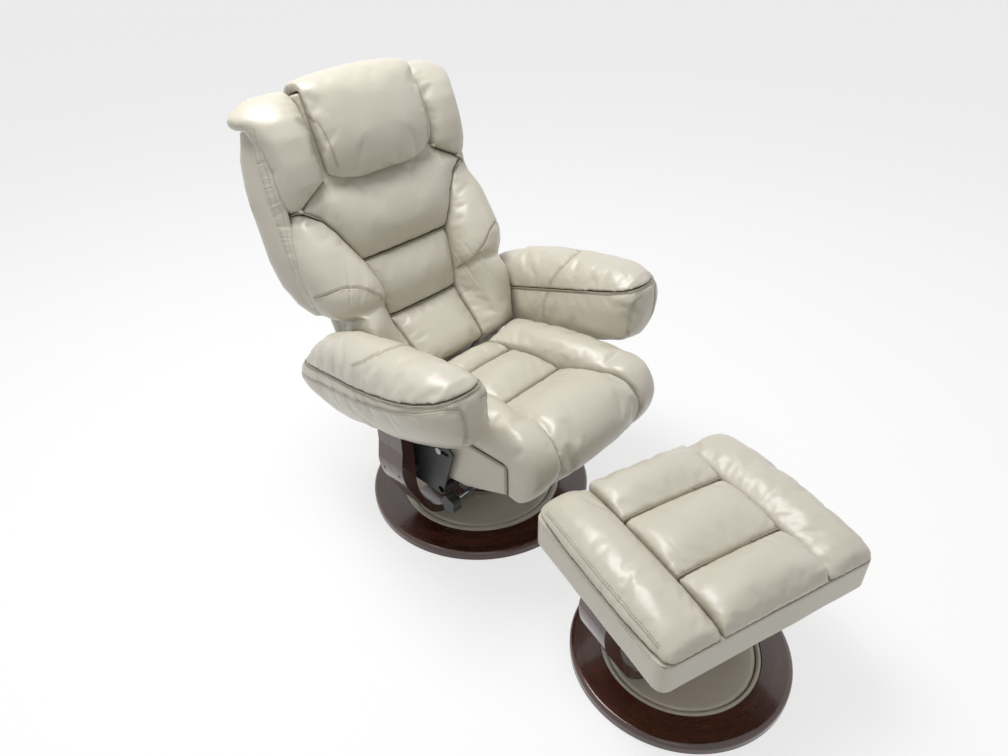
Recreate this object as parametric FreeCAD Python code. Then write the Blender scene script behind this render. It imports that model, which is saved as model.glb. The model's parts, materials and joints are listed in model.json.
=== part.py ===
import FreeCAD, Part
import math
import os

# Swivel recliner on a round timber base, with its matching ottoman.
# Millimetres, +Z up. The origin is the centre of the chair's base on the floor.
# The chair faces -Y, and +X is the side of the sitter's left hand.

V = FreeCAD.Vector

# Fits and clearances
running_fit = 0.05          # radial, a pin in its bore
slide_fit = 0.2             # a pin in its slot, or faces that slide past each other
loose_fit = 0.5             # radial, a bolt or tube through a cover
soft_gap = 0.3              # between padded pieces that lie together
side_clearance = 2.0        # between metal parts that pass each other

# Round bases
glide_height = 4.0
glide_radius = 16.0
glide_inset = 24.0          # from the ring's outer edge to a glide's centre
glide_count = 8
centre_glide_radius = 45.0
ring_height = 24.0
ring_roundover = 10.0
board_thickness = 6.0
board_land = 34.0           # how far the board reaches under the ring
hub_radius = 82.0
piping_rise = 2.0
pad_edge_rounding = 6.0
base_screw_count = 6
base_screw_radius = 2.5
base_screw_head_radius = 5.0
base_screw_head_height = 2.5
base_screw_length = 18.0
chair_ring_outer = 305.0
chair_ring_inner = 226.0
chair_piping_width = 20.0
ottoman_ring_outer = 247.0
ottoman_ring_inner = 180.0
ottoman_piping_width = 12.0

# Swivel bearing
bearing_plate_radius = 78.0
bearing_plate_thickness = 5.0
bearing_gap = 6.0
bearing_pin_radius = 12.0
ball_radius = 4.0
ball_circle_radius = 55.0
ball_count = 16

# Bentwood yokes
yoke_depth = 90.0
yoke_bar_thickness = 24.0
yoke_bend_reach = 128.0      # from the upright's outer face to where the bar starts to bend up
yoke_upright_thickness = 36.0
yoke_head_recess = 1.0      # under the bar, round the head of the bearing's pin
chair_yoke_top = 480.0
ottoman_yoke_top = 344.0
yoke_bolt_radius = 4.0
yoke_bolt_head_radius = 8.0
yoke_bolt_head_height = 5.0
yoke_bolt_turn = 35.0       # degrees from the X axis to the first bolt

# Recline and glide geometry
recline_range = 25.0        # degrees
glide_slope = 8.0           # degrees, the seat rises as it moves forward
pivot_y = 60.0
pivot_z = 318.0
pivot_bolt_radius = 6.0
lever_length = 68.0         # from the pivot to the drive pin
drive_pin_radius = 5.0
guide_pin_radius = 5.0
guide_pin_ys = (-118.0, -20.0)
guide_pin_z = 322.0         # at the rear guide pin
guide_washer_radius = 9.0

# Side mechanism, laid out from the side of the seat outwards
seat_half_width = 235.0
lug_thickness = 4.0
washer_thickness = 3.0
plate_inner_x = seat_half_width + lug_thickness + washer_thickness + 2 * side_clearance
plate_thickness = 5.0
spacer_length = 16.0
upright_inner_x = plate_inner_x + plate_thickness + spacer_length
chair_yoke_outer_x = upright_inner_x + yoke_upright_thickness
plate_front_y = -168.0
plate_rear_y = 92.0
plate_low_z = 196.0
plate_high_z = 346.0
plate_corner = 24.0
spacer_radius = 12.0
side_bolt_radius = 4.0
side_bolt_grip = 24.0       # how deep a side bolt goes into the upright
side_bolt_head = 4.0
bolt_head_share = 1.8       # head radius of a bolt, as a share of its shank
nut_share = 1.7
nut_height = 5.0
side_bolt_ys = (-28.0, 28.0)
side_bolt_z = 236.0
cross_tube_radius = 12.0
cross_tube_wall = 2.0
cross_tube_z = 212.0
cross_tube_ys = (-118.0, 30.0)

# Knob that tightens the glide
knob_radius = 26.0
knob_length = 26.0
knob_lobes = 5
knob_lobe_radius = 9.0
knob_outer_x = plate_inner_x + 22.0
knob_y = cross_tube_ys[0] - cross_tube_radius - knob_radius
knob_z = 196.0
knob_rod_radius = 5.0
knob_rod_inner_x = 160.0
collar_length = 6.0
bracket_x = 196.0
bracket_thickness = 6.0
bracket_width = 34.0

# Seat
deck_z = 392.0              # underside of the seat cushions
seat_rear_y = 56.0          # the back's lower bulge fills the rest of the deck
seam_ab_y = -29.0
seam_bc_y = -183.0
seam_rear_half = seat_half_width - 144.0
seam_ab_half = seat_half_width - 132.0
seam_bc_half = seat_half_width - 118.0
seam_front_half = seat_half_width - 81.0
seat_tail = 1.6             # leather that runs on over the webbing, behind the rear panel
seam_z = 419.0
seat_crest_y = -305.0
seat_crest_z = 462.0
seat_front_y = -420.0
seat_roll_z = 400.0
seat_front_low_z = 306.0
seat_front_low_y = -374.0
apron_front_y = -322.0
apron_rear_y = 92.0
apron_wall = 8.0
apron_bottom = ((-312.0, 302.0), (-187.0, 252.0), (-15.0, 230.0), (92.0, 224.0))
rail_width = 20.0
rail_height = 46.0
webbing_thickness = 3.0
webbing_width = 46.0
seat_webbing_count = 6
hanger_thickness = 10.0
hanger_lap = 5.0            # how far a hanger reaches up into the frame
hanger_margin = 22.0        # round the guide pins
hanger_edge = 16.0          # round the other pin and under both

# Back, in its own frame: s runs up the back, and depth runs rearward of the seam plane
recline_rest = 19.0         # degrees from upright
back_y = 191.0
back_z = 527.0
cushion_rear = 55.0         # behind the seam plane
wing_rear_pull = 6.0        # how far a wing draws in behind its outermost line
back_low_s = -235.0
tuck_s = -157.0             # where the back's lower bulge starts, above the seat's deck
seam_low_s = 0.0
seam_high_s = 158.0
wing_split_s = 314.0
wing_top_s = 582.0
ear_low_s = 521.0           # above this the wings wrap over the top of the shell
panel_top_s = 568.0
drawn_half = 235.0          # half width between the arms that the back's tables are drawn for
back_low_half = seat_half_width
back_share = back_low_half / drawn_half
wide_from_s = 45.0          # above this the back is wider than the gap between the arms
shell_wall = 12.0
shell_top_s = ear_low_s - 4.0
shell_inset = 6.0           # the shell's edge lies this far inside the wings'
tube_radius = 11.0
tube_x = back_low_half - 37.0
tube_depth = cushion_rear + tube_radius + 8.0
tube_top_s = shell_top_s - shell_wall - tube_radius - 5.0
tube_low_s = -200.0
back_strap_half = 150.0
back_webbing_count = 7
pillow_low_s = 350.0
pillow_top_s = 597.0
pillow_half = 165.0 * back_share
pillow_rear = 80.0

# Arms
arm_inner_x = seat_half_width + 5.0
arm_skirt_x = plate_inner_x + plate_thickness + 3.0   # inner face of the arm below the seat cushions
arm_skirt_z = 404.0
arm_seam_z = 532.0          # seam between pad and body at y = 0
arm_seam_slope = 0.30
arm_half_length = 400.0     # clear of both ends of an arm
arm_top_z = 700.0           # clear of an arm's top
arm_core_thickness = 24.0
arm_core_room = 1.02        # the hollow for the board, as a share of its outline
arm_bolt_radius = 4.0
arm_bolt_zs = (424.0, 456.0)

# Ottoman
ottoman_x = -105.5
ottoman_y = -733.0
ottoman_turn = -18.3        # degrees about Z
ottoman_half_x = 262.0
ottoman_half_y = 218.0
ottoman_box_low = 298.0
ottoman_box_high = 372.0
ottoman_box_wall = 8.0
ottoman_box_inset = 2.0     # the box lies this far inside the cushion
ottoman_box_corner = 26.0
ottoman_yoke_outer_x = ottoman_half_x - ottoman_box_inset - ottoman_box_wall - 6.0
ottoman_seam_x = ottoman_half_x - 133.0
ottoman_seam_y = 84.0
ottoman_seam_z = 404.0
ottoman_crown = 26.0
ottoman_edge = 12.0         # height of a centre panel at the front or rear of the cushion
ottoman_board = 18.0
ottoman_bolt_z = 324.0
ottoman_bolt_ys = (-25.0, 25.0)

nodes = {}


def keep(name, shape):
    """Remember a finished piece under its node name."""
    nodes[name] = shape


def group(shapes):
    """Several separate solids that share a node."""
    return Part.makeCompound(shapes)


def mirrored(shape):
    """The same piece on the other side of the chair."""
    return shape.mirror(V(0, 0, 0), V(1, 0, 0))


def rod(start, direction, radius, length):
    """Round bar from a start point."""
    return Part.makeCylinder(radius, length, start, direction)


def tube(start, direction, radius, wall, length):
    """Round tube, open at both ends."""
    outer = rod(start, direction, radius, length)
    return outer.cut(rod(start, direction, radius - wall, length))


def box(x0, x1, y0, y1, z0, z1):
    """Box between two corners, given as ranges."""
    return Part.makeBox(x1 - x0, y1 - y0, z1 - z0, V(x0, y0, z0))


def slab_yz(points, x0, x1):
    """Plate with a side outline given as (y, z) points."""
    corners = [V(x0, y, z) for y, z in points]
    face = Part.Face(Part.makePolygon(corners + corners[:1]))
    return face.extrude(V(x1 - x0, 0, 0))


def slab_xy(points, z0, z1):
    """Plate with a plan outline given as (x, y) points."""
    corners = [V(x, y, z0) for x, y in points]
    face = Part.Face(Part.makePolygon(corners + corners[:1]))
    return face.extrude(V(0, 0, z1 - z0))


def side(start, end, bow=None):
    """One side of a section: straight, or an arc that bows out at its middle."""
    if bow is None:
        return Part.makeLine(start, end)
    middle = (start + end) * 0.5 + bow
    return Part.Arc(start, middle, end).toShape()


def section(points, bows):
    """Closed section; each side is straight (None) or bows by a vector."""
    count = len(points)
    sides = [side(points[i], points[(i + 1) % count], bows[i]) for i in range(count)]
    return Part.Wire(sides)


def ruled(sections):
    """Closed solid through sections that all have the same kinds of sides."""
    return Part.makeLoft(sections, True, True)


def swell(t):
    """0 at both ends of a cushion and 1 at its middle, with a quick rise."""
    return max(0.0, 1.0 - (2.0 * t - 1.0) ** 2) ** 0.6


def along(table, place):
    """Value at a place along a table of (place, value) pairs, straight between them."""
    if place <= table[0][0]:
        return table[0][1]
    for (a, low), (b, high) in zip(table, table[1:]):
        if place <= b:
            return low + (high - low) * (place - a) / (b - a)
    return table[-1][1]


def between(start, end, share):
    """Place at a share of the way from start to end."""
    return start + (end - start) * share


def spaced(start, end, count):
    """Evenly spaced places with both ends."""
    return [start + (end - start) * i / (count - 1) for i in range(count)]


# Round base

ring_top = glide_height + ring_height
board_top = glide_height + board_thickness


def revolved(outline):
    """Solid of revolution about the Z axis from (radius, z) edges."""
    return Part.Face(Part.Wire(outline)).revolve(V(0, 0, 0), V(0, 0, 1), 360)


def flat_edge(a, b):
    """Straight edge between two (radius, z) points."""
    return Part.makeLine(V(a[0], 0, a[1]), V(b[0], 0, b[1]))


def flat_arc(a, middle, b):
    """Arc through three (radius, z) points."""
    return Part.Arc(V(a[0], 0, a[1]), V(middle[0], 0, middle[1]), V(b[0], 0, b[1])).toShape()


def screw_places(outer, inner):
    """Where screws join the board to the ring."""
    radius = inner + board_land * 0.5
    turns = [2 * math.pi * (i + 0.5) / base_screw_count for i in range(base_screw_count)]
    return [V(radius * math.cos(a), radius * math.sin(a), glide_height) for a in turns]


def base_ring(outer, inner):
    """Timber ring with a rounded top edge and a step under it for the board."""
    r = ring_roundover
    bend = r * (1 - math.sqrt(0.5))
    land = inner + board_land
    outline = [
        flat_edge((outer, glide_height), (outer, ring_top - r)),
        flat_arc((outer, ring_top - r), (outer - bend, ring_top - bend), (outer - r, ring_top)),
        flat_edge((outer - r, ring_top), (inner, ring_top)),
        flat_edge((inner, ring_top), (inner, board_top)),
        flat_edge((inner, board_top), (land, board_top)),
        flat_edge((land, board_top), (land, glide_height)),
        flat_edge((land, glide_height), (outer, glide_height)),
    ]
    ring = revolved(outline)
    for place in screw_places(outer, inner):
        ring = ring.cut(rod(place, V(0, 0, 1), base_screw_radius, base_screw_length))
    return ring


def base_board(outer, inner):
    """Plywood disc with a raised hub that carries the bearing."""
    board = rod(V(0, 0, glide_height), V(0, 0, 1), inner + board_land - loose_fit, board_thickness)
    hub = rod(V(0, 0, glide_height), V(0, 0, 1), hub_radius, ring_height)
    board = board.fuse(hub).removeSplitter()
    for place in screw_places(outer, inner):
        board = board.cut(rod(place, V(0, 0, 1), base_screw_radius, board_thickness))
        board = board.cut(rod(place, V(0, 0, 1), base_screw_head_radius, base_screw_head_height))
    return board


def base_screws(outer, inner):
    """Countersunk screws from below."""
    screws = []
    for place in screw_places(outer, inner):
        head = rod(place, V(0, 0, 1), base_screw_head_radius - running_fit, base_screw_head_height)
        shank = rod(place, V(0, 0, 1), base_screw_radius - running_fit, base_screw_length)
        screws.append(head.fuse(shank))
    return group(screws)


def base_pad(inner, piping_width):
    """Padded leather disc inside the ring."""
    edge = inner - piping_width - soft_gap
    hub = hub_radius + soft_gap
    r = pad_edge_rounding
    bend = r * (1 - math.sqrt(0.5))
    outline = [
        flat_edge((hub, board_top), (edge, board_top)),
        flat_edge((edge, board_top), (edge, ring_top - r)),
        flat_arc((edge, ring_top - r), (edge - bend, ring_top - bend), (edge - r, ring_top)),
        flat_edge((edge - r, ring_top), (hub, ring_top)),
        flat_edge((hub, ring_top), (hub, board_top)),
    ]
    return revolved(outline)


def base_piping(inner, width):
    """Soft roll between the ring and the pad."""
    outer = inner - soft_gap
    low = inner - width
    middle = (outer + low) / 2
    shoulder = ring_top - width * 0.3
    outline = [
        flat_edge((low, board_top), (outer, board_top)),
        flat_edge((outer, board_top), (outer, shoulder)),
        flat_arc((outer, shoulder), (middle, ring_top + piping_rise), (low, shoulder)),
        flat_edge((low, shoulder), (low, board_top)),
    ]
    return revolved(outline)


def base_glides(outer):
    """Floor glides under the ring and one broad glide in the middle."""
    radius = outer - glide_inset
    pads = [rod(V(0, 0, 0), V(0, 0, 1), centre_glide_radius, glide_height)]
    for i in range(glide_count):
        a = 2 * math.pi * i / glide_count
        place = V(radius * math.cos(a), radius * math.sin(a), 0)
        pads.append(rod(place, V(0, 0, 1), glide_radius, glide_height))
    return group(pads)


# Swivel bearing

lower_plate_top = ring_top + bearing_plate_thickness
upper_plate_low = lower_plate_top + bearing_gap
bearing_top = upper_plate_low + bearing_plate_thickness
ball_z = lower_plate_top + bearing_gap / 2


def ball_groove():
    """Ring-shaped track that the balls run in."""
    return Part.makeTorus(ball_circle_radius, ball_radius + running_fit, V(0, 0, ball_z))


def bearing_lower_plate():
    """Fixed plate with the centre pin."""
    plate = rod(V(0, 0, ring_top), V(0, 0, 1), bearing_plate_radius, bearing_plate_thickness)
    pin = rod(V(0, 0, ring_top), V(0, 0, 1), bearing_pin_radius, bearing_top - ring_top)
    return plate.fuse(pin).cut(ball_groove())


def bearing_upper_plate():
    """Turning plate, bored for the centre pin."""
    start = V(0, 0, upper_plate_low)
    plate = rod(start, V(0, 0, 1), bearing_plate_radius, bearing_plate_thickness)
    bore = rod(start, V(0, 0, 1), bearing_pin_radius + running_fit, bearing_plate_thickness)
    holes = [rod(place, V(0, 0, 1), yoke_bolt_radius, bearing_plate_thickness)
             for place in yoke_bolt_places(upper_plate_low)]
    return plate.cut(bore).cut(ball_groove()).cut(group(holes))


def bearing_balls():
    """Steel balls spaced round the track."""
    balls = []
    for i in range(ball_count):
        a = 2 * math.pi * i / ball_count
        place = V(ball_circle_radius * math.cos(a), ball_circle_radius * math.sin(a), ball_z)
        balls.append(Part.makeSphere(ball_radius, place))
    return group(balls)


# Bentwood yoke

yoke_bar_top = bearing_top + yoke_bar_thickness


def yoke_bolt_places(z):
    """The four bolts that hold the yoke on the bearing, inside the ball track."""
    radius = ball_circle_radius - ball_radius - yoke_bolt_radius - 2 * side_clearance
    x = radius * math.cos(math.radians(yoke_bolt_turn))
    y = radius * math.sin(math.radians(yoke_bolt_turn))
    return [V(sx * x, sy * y, z) for sx in (-1, 1) for sy in (-1, 1)]


def yoke_half(outer_x, top):
    """Outline of one side, from the middle of the bar up one upright."""
    inner_x = outer_x - yoke_upright_thickness
    low = bearing_top
    bar = yoke_bar_top
    foot = outer_x - yoke_bend_reach
    outside = [
        (0, low), (foot, low), (foot + 75, low + 62), (outer_x - 8, low + 152),
        (outer_x + 7, low + 222), (outer_x, low + 270), (outer_x, top),
    ]
    inside = [
        (inner_x, top), (inner_x + 1, low + 176), (foot + 56, low + 70), (foot - 8, bar), (0, bar),
    ]
    return outside, inside


def bent_yoke(outer_x, top):
    """Laminated U of curved timber."""
    outside, inside = yoke_half(outer_x, top)

    def place(point, sign):
        return V(sign * point[0], -yoke_depth / 2, point[1])

    def run(sign):
        o = [place(p, sign) for p in outside]
        n = [place(p, sign) for p in inside]
        return [
            Part.makeLine(o[0], o[1]),
            side(o[1], o[2], V(sign * 8, 0, -9)),
            side(o[2], o[3]),
            side(o[3], o[4], V(sign * 4, 0, -2)),
            Part.makeLine(o[4], o[5]),
            Part.makeLine(o[5], o[6]),
            Part.makeLine(o[6], n[0]),
            Part.makeLine(n[0], n[1]),
            side(n[1], n[2], V(sign * 9, 0, -5)),
            side(n[2], n[3], V(sign * 9, 0, -8)),
            Part.makeLine(n[3], n[4]),
        ]

    outline = Part.Wire(run(1) + run(-1)[::-1])
    yoke = Part.Face(outline).extrude(V(0, yoke_depth, 0))
    holes = [rod(p, V(0, 0, 1), yoke_bolt_radius, yoke_bar_thickness)
             for p in yoke_bolt_places(bearing_top)]
    recess_radius = bearing_pin_radius + side_clearance
    pin_recess = rod(V(0, 0, bearing_top), V(0, 0, 1), recess_radius, yoke_head_recess)
    return yoke.cut(group(holes)).cut(pin_recess)


def yoke_bolts():
    """Dome-headed bolts down through the bar into the bearing plate."""
    bolts = []
    for place in yoke_bolt_places(upper_plate_low):
        length = yoke_bar_top - upper_plate_low
        shank = rod(place, V(0, 0, 1), yoke_bolt_radius - running_fit, length)
        head_place = V(place.x, place.y, yoke_bar_top)
        head = rod(head_place, V(0, 0, 1), yoke_bolt_head_radius, yoke_bolt_head_height)
        bolts.append(shank.fuse(head))
    return group(bolts)


# Side mechanism

glide_forward = V(0, -math.cos(math.radians(glide_slope)), math.sin(math.radians(glide_slope)))
glide_down = V(0, -math.sin(math.radians(glide_slope)), -math.cos(math.radians(glide_slope)))
half_swing = math.radians(recline_range) / 2
glide_travel = 2 * lever_length * math.sin(half_swing)
pivot = V(0, pivot_y, pivot_z)
lever_rise = lever_length * math.cos(half_swing)
drive_pin = pivot + glide_down * lever_rise - glide_forward * (glide_travel / 2)
pin_sink = lever_length * (1 - math.cos(half_swing))


def guide_pin_places():
    """Guide pins lie in a line along the glide, with the seat fully back."""
    rear = V(0, guide_pin_ys[1], guide_pin_z)
    places = []
    for y in guide_pin_ys:
        run = (rear.y - y) / math.cos(math.radians(glide_slope))
        places.append(rear + glide_forward * run)
    return places


def slot(start, end, radius, x0, x1):
    """Round-ended slot cut along X, between two centres."""
    length = (end - start).Length
    first = rod(V(x0, start.y, start.z), V(1, 0, 0), radius, x1 - x0)
    last = rod(V(x0, end.y, end.z), V(1, 0, 0), radius, x1 - x0)
    run = (end - start).normalize()
    across = V(0, -run.z, run.y) * radius
    far = run * length
    corners = [start + across, start - across, start - across + far, start + across + far]
    middle = slab_yz([(c.y, c.z) for c in corners], x0, x1)
    return first.fuse(last).fuse(middle)


def mechanism_plate():
    """Steel side plate with two guide slots and the hip pivot hole."""
    c = plate_corner
    outline = [
        (plate_front_y + 2 * c, plate_low_z), (plate_rear_y - 2 * c, plate_low_z),
        (plate_rear_y, plate_low_z + 3 * c), (plate_rear_y, plate_high_z - c / 2),
        (plate_rear_y - c, plate_high_z), (plate_front_y + c, plate_high_z + c),
        (plate_front_y, plate_high_z),
    ]
    x0 = plate_inner_x
    x1 = plate_inner_x + plate_thickness
    plate = slab_yz(outline, x0, x1)
    for place in guide_pin_places():
        start = place - glide_forward * side_clearance / 2
        end = place + glide_forward * (glide_travel + side_clearance / 2)
        plate = plate.cut(slot(start, end, guide_pin_radius + slide_fit, x0, x1))
    plate = plate.cut(rod(V(x0, pivot_y, pivot_z), V(1, 0, 0), pivot_bolt_radius, plate_thickness))
    for y in side_bolt_ys:
        plate = plate.cut(rod(V(x0, y, side_bolt_z), V(1, 0, 0), side_bolt_radius, plate_thickness))
    tube_hole = cross_tube_radius + running_fit
    for y in cross_tube_ys:
        plate = plate.cut(rod(V(x0, y, cross_tube_z), V(1, 0, 0), tube_hole, plate_thickness))
    return plate


def cross_tubes():
    """Two tubes under the seat that tie the side plates together."""
    tubes = []
    reach = plate_inner_x + plate_thickness
    for y in cross_tube_ys:
        start = V(-reach, y, cross_tube_z)
        tubes.append(tube(start, V(1, 0, 0), cross_tube_radius, cross_tube_wall, 2 * reach))
    return group(tubes)


def side_bolts():
    """Bolts with spacer sleeves that hold the side plates on the yoke."""
    bolts = []
    head_x = plate_inner_x - side_clearance
    gap_x = plate_inner_x + plate_thickness
    length = upright_inner_x + side_bolt_grip - head_x
    for y in side_bolt_ys:
        start = V(head_x, y, side_bolt_z)
        head = rod(start, V(1, 0, 0), side_bolt_radius * bolt_head_share, side_clearance)
        shank = rod(start, V(1, 0, 0), side_bolt_radius - running_fit, length)
        sleeve = rod(V(gap_x, y, side_bolt_z), V(1, 0, 0), spacer_radius, spacer_length)
        bolts.append(head.fuse(shank).fuse(sleeve))
    return bolts


def pivot_bolt():
    """Shouldered bolt that the back turns on."""
    inner = seat_half_width + side_clearance / 2
    reach = plate_inner_x + plate_thickness
    length = reach + nut_height - inner
    pin = rod(V(inner, pivot_y, pivot_z), V(1, 0, 0), pivot_bolt_radius - running_fit, length)
    nut = rod(V(reach, pivot_y, pivot_z), V(1, 0, 0), pivot_bolt_radius * nut_share, nut_height)
    return pin.fuse(nut)


def lock_bracket():
    """Steel tongue under the front tube with a bore for the knob's rod."""
    front = cross_tube_ys[0]
    half = bracket_width / 2
    x0 = -bracket_x
    outline = [
        (front + half, cross_tube_z - half), (front + half, cross_tube_z + half * 0.2),
        (knob_y - half * 0.8, knob_z + half * 0.9), (knob_y - half * 0.8, knob_z - half * 0.8),
    ]
    tongue = slab_yz(outline, x0, x0 + bracket_thickness)
    tube_hole = cross_tube_radius + running_fit
    rod_hole = knob_rod_radius + running_fit
    tongue = tongue.cut(rod(V(x0, front, cross_tube_z), V(1, 0, 0), tube_hole, bracket_thickness))
    return tongue.cut(rod(V(x0, knob_y, knob_z), V(1, 0, 0), rod_hole, bracket_thickness))


def recline_knob():
    """Lobed hand knob."""
    x0 = -knob_outer_x
    body = rod(V(x0, knob_y, knob_z), V(1, 0, 0), knob_radius - knob_lobe_radius * 0.6, knob_length)
    for i in range(knob_lobes):
        a = 2 * math.pi * i / knob_lobes
        reach = knob_radius - knob_lobe_radius
        place = V(x0, knob_y + reach * math.cos(a), knob_z + reach * math.sin(a))
        body = body.fuse(rod(place, V(1, 0, 0), knob_lobe_radius, knob_length))
    socket = rod(V(x0 + knob_length / 2, knob_y, knob_z), V(1, 0, 0), knob_rod_radius, knob_length)
    return body.removeSplitter().cut(socket)


def knob_rod():
    """Threaded rod with a collar inside the bracket."""
    start = -knob_outer_x + knob_length / 2
    bar = rod(V(start, knob_y, knob_z), V(1, 0, 0), knob_rod_radius, -knob_rod_inner_x - start)
    collar_x = -bracket_x + bracket_thickness + slide_fit
    collar_place = V(collar_x, knob_y, knob_z)
    collar = rod(collar_place, V(1, 0, 0), knob_rod_radius * nut_share, collar_length)
    return bar.fuse(collar)


# Seat

def seam_half(y):
    """Half width of the centre panels at a place along the seat."""
    table = (
        (seat_front_y, seam_front_half), (seam_bc_y, seam_bc_half), (seam_ab_y, seam_ab_half),
        (seat_rear_y, seam_rear_half),
    )
    return along(table, y)


def seat_panel(front, rear, rise, crown, rear_z):
    """Centre panel between two cross seams, crowned both ways."""
    wires = []
    for t in (0.0, 0.06, 0.18, 0.36, 0.6, 0.82, 0.94, 1.0):
        y = front + (rear - front) * t
        half = seam_half(y) - soft_gap
        seam = seam_z + (rear_z - seam_z) * t + rise * swell(t)
        points = [V(-half, y, deck_z), V(half, y, deck_z), V(half, y, seam), V(-half, y, seam)]
        wires.append(section(points, [None, None, V(0, 0, 1.5 + crown * swell(t)), None]))
    return ruled(wires)


def seat_rear_panel():
    """Rear centre panel, with the leather that runs on under the back cushions."""
    panel = seat_panel(seam_ab_y, seat_rear_y, 10.0, 14.0, 412.0)
    reach = seat_half_width - soft_gap
    tail_rear = apron_rear_y - side_clearance
    bottom = deck_z + soft_gap
    tail = box(-reach, reach, seat_rear_y + soft_gap, tail_rear, bottom, bottom + seat_tail)
    start = seat_rear_y - seat_tail
    tongue = box(-seam_rear_half, seam_rear_half, start, tail_rear, bottom, bottom + seat_tail)
    return panel.fuse(tail).fuse(tongue).removeSplitter()


def roll_section(x, rear_y, rear_z, crest_z, front_y, drop):
    """Side section of a seat cushion that rolls down over the front."""
    points = [
        V(x, rear_y, deck_z), V(x, rear_y, rear_z), V(x, seat_crest_y, crest_z),
        V(x, front_y, seat_roll_z), V(x, seat_front_low_y + drop, seat_front_low_z),
        V(x, apron_front_y - soft_gap, seat_front_low_z), V(x, apron_front_y - soft_gap, deck_z),
    ]
    length = rear_y - seat_crest_y
    bows = [None, V(0, -2, length * 0.05), V(0, -18, 22), V(0, -9, -1), None, None, None]
    return section(points, bows)


def plan_prism(outer):
    """Plan area of the centre panels, widened by a gap."""
    ys = [seat_rear_y + 20, seam_ab_y, seam_bc_y, seat_front_y, seat_front_y - 60]
    right = [(seam_half(y) + outer, y) for y in ys]
    left = [(-x, y) for x, y in reversed(right)]
    return slab_xy(right + left, seat_front_low_z - 20, seat_crest_z + 80)


def seat_front_panel():
    """Front panel with its waterfall roll."""
    wires = []
    reach = seam_front_half + 10
    for t in (-1.0, -0.86, -0.62, -0.3, 0.0, 0.3, 0.62, 0.86, 1.0):
        pull = 13.0 * abs(t) ** 3
        wires.append(roll_section(reach * t, seam_bc_y, seam_z + 3 - pull * 0.1, seat_crest_z - pull,
                                  seat_front_y + pull, pull * 0.4))
    return ruled(wires).common(plan_prism(-soft_gap))


def seat_bolster():
    """Side bolster on the sitter's left, full length of the seat."""
    table = (
        (151.0, 414.0, 448.0, -404.0, 0.0),
        (105.0, 422.0, 462.0, -414.0, 0.0),
        (70.0, 430.0, 478.0, -416.0, 0.0),
        (35.0, 434.0, 484.0, -412.0, 1.0),
        (13.0, 428.0, 478.0, -402.0, 4.0),
        (0.0, 410.0, 456.0, -384.0, 14.0),
    )
    wires = []
    for inset, rear, crest, front, drop in table:
        wires.append(roll_section(seat_half_width - inset, seat_rear_y, rear, crest, front, drop))
    return ruled(wires).cut(plan_prism(soft_gap))


def seat_apron():
    """Leather-covered side walls of the seat box, open above and below."""
    x = seat_half_width
    top = deck_z - soft_gap
    corners = [(apron_rear_y, top), (apron_front_y, top), (apron_front_y, seat_front_low_z)]
    walls = slab_yz(corners + list(apron_bottom), -x, x)
    inner = x - apron_wall
    front = apron_front_y + apron_wall
    rear = apron_rear_y - apron_wall
    walls = walls.cut(box(-inner, inner, front, rear, 0, deck_z))
    for place in guide_pin_places():
        walls = walls.cut(rod(V(-x, place.y, place.z), V(1, 0, 0), guide_pin_radius + loose_fit, 2 * x))
    high = drive_pin - glide_down * (side_clearance + pin_sink)
    low = drive_pin + glide_down * (side_clearance + pin_sink)
    return walls.cut(slot(high, low, drive_pin_radius + side_clearance, -x, x))


frame_half = seat_half_width - apron_wall - soft_gap


def seat_frame():
    """Timber frame with steel-hard side hangers for the guide and drive pins."""
    top = deck_z - webbing_thickness - 2 * soft_gap
    low = top - rail_height
    front = apron_front_y + apron_wall + soft_gap
    rear = apron_rear_y - apron_wall - soft_gap
    w = rail_width
    rim = box(-frame_half, frame_half, front, rear, low, top)
    rim = rim.cut(box(-frame_half + w, frame_half - w, front + w, rear - w, low, top))
    inner = frame_half - hanger_thickness
    reach = low + hanger_lap
    first = guide_pin_ys[0] - hanger_margin
    last = guide_pin_ys[1] + hanger_margin
    drive_front = drive_pin.y - hanger_edge
    guide_low = guide_pin_z - hanger_edge
    drive_low = drive_pin.z - hanger_edge
    hangers = [
        box(inner, frame_half, first, last, guide_low, reach),
        box(inner, frame_half, drive_front, rear, drive_low, reach),
    ]
    frame = rim.multiFuse(hangers + [mirrored(h) for h in hangers]).removeSplitter()
    x = frame_half
    for place in guide_pin_places():
        frame = frame.cut(rod(V(-x, place.y, place.z), V(1, 0, 0), guide_pin_radius, 2 * x))
    high = drive_pin - glide_down * side_clearance
    low_end = drive_pin + glide_down * (pin_sink + side_clearance)
    return frame.cut(slot(high, low_end, drive_pin_radius + slide_fit, -x, x))


def seat_webbing():
    """Elastic straps across the seat frame."""
    top = deck_z - soft_gap
    low = top - webbing_thickness
    half = webbing_width / 2
    straps = []
    first = apron_front_y + apron_wall + webbing_width
    last = apron_rear_y - apron_wall - webbing_width
    for y in spaced(first, last, seat_webbing_count):
        straps.append(box(-frame_half, frame_half, y - half, y + half, low, top))
    return group(straps)


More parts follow.
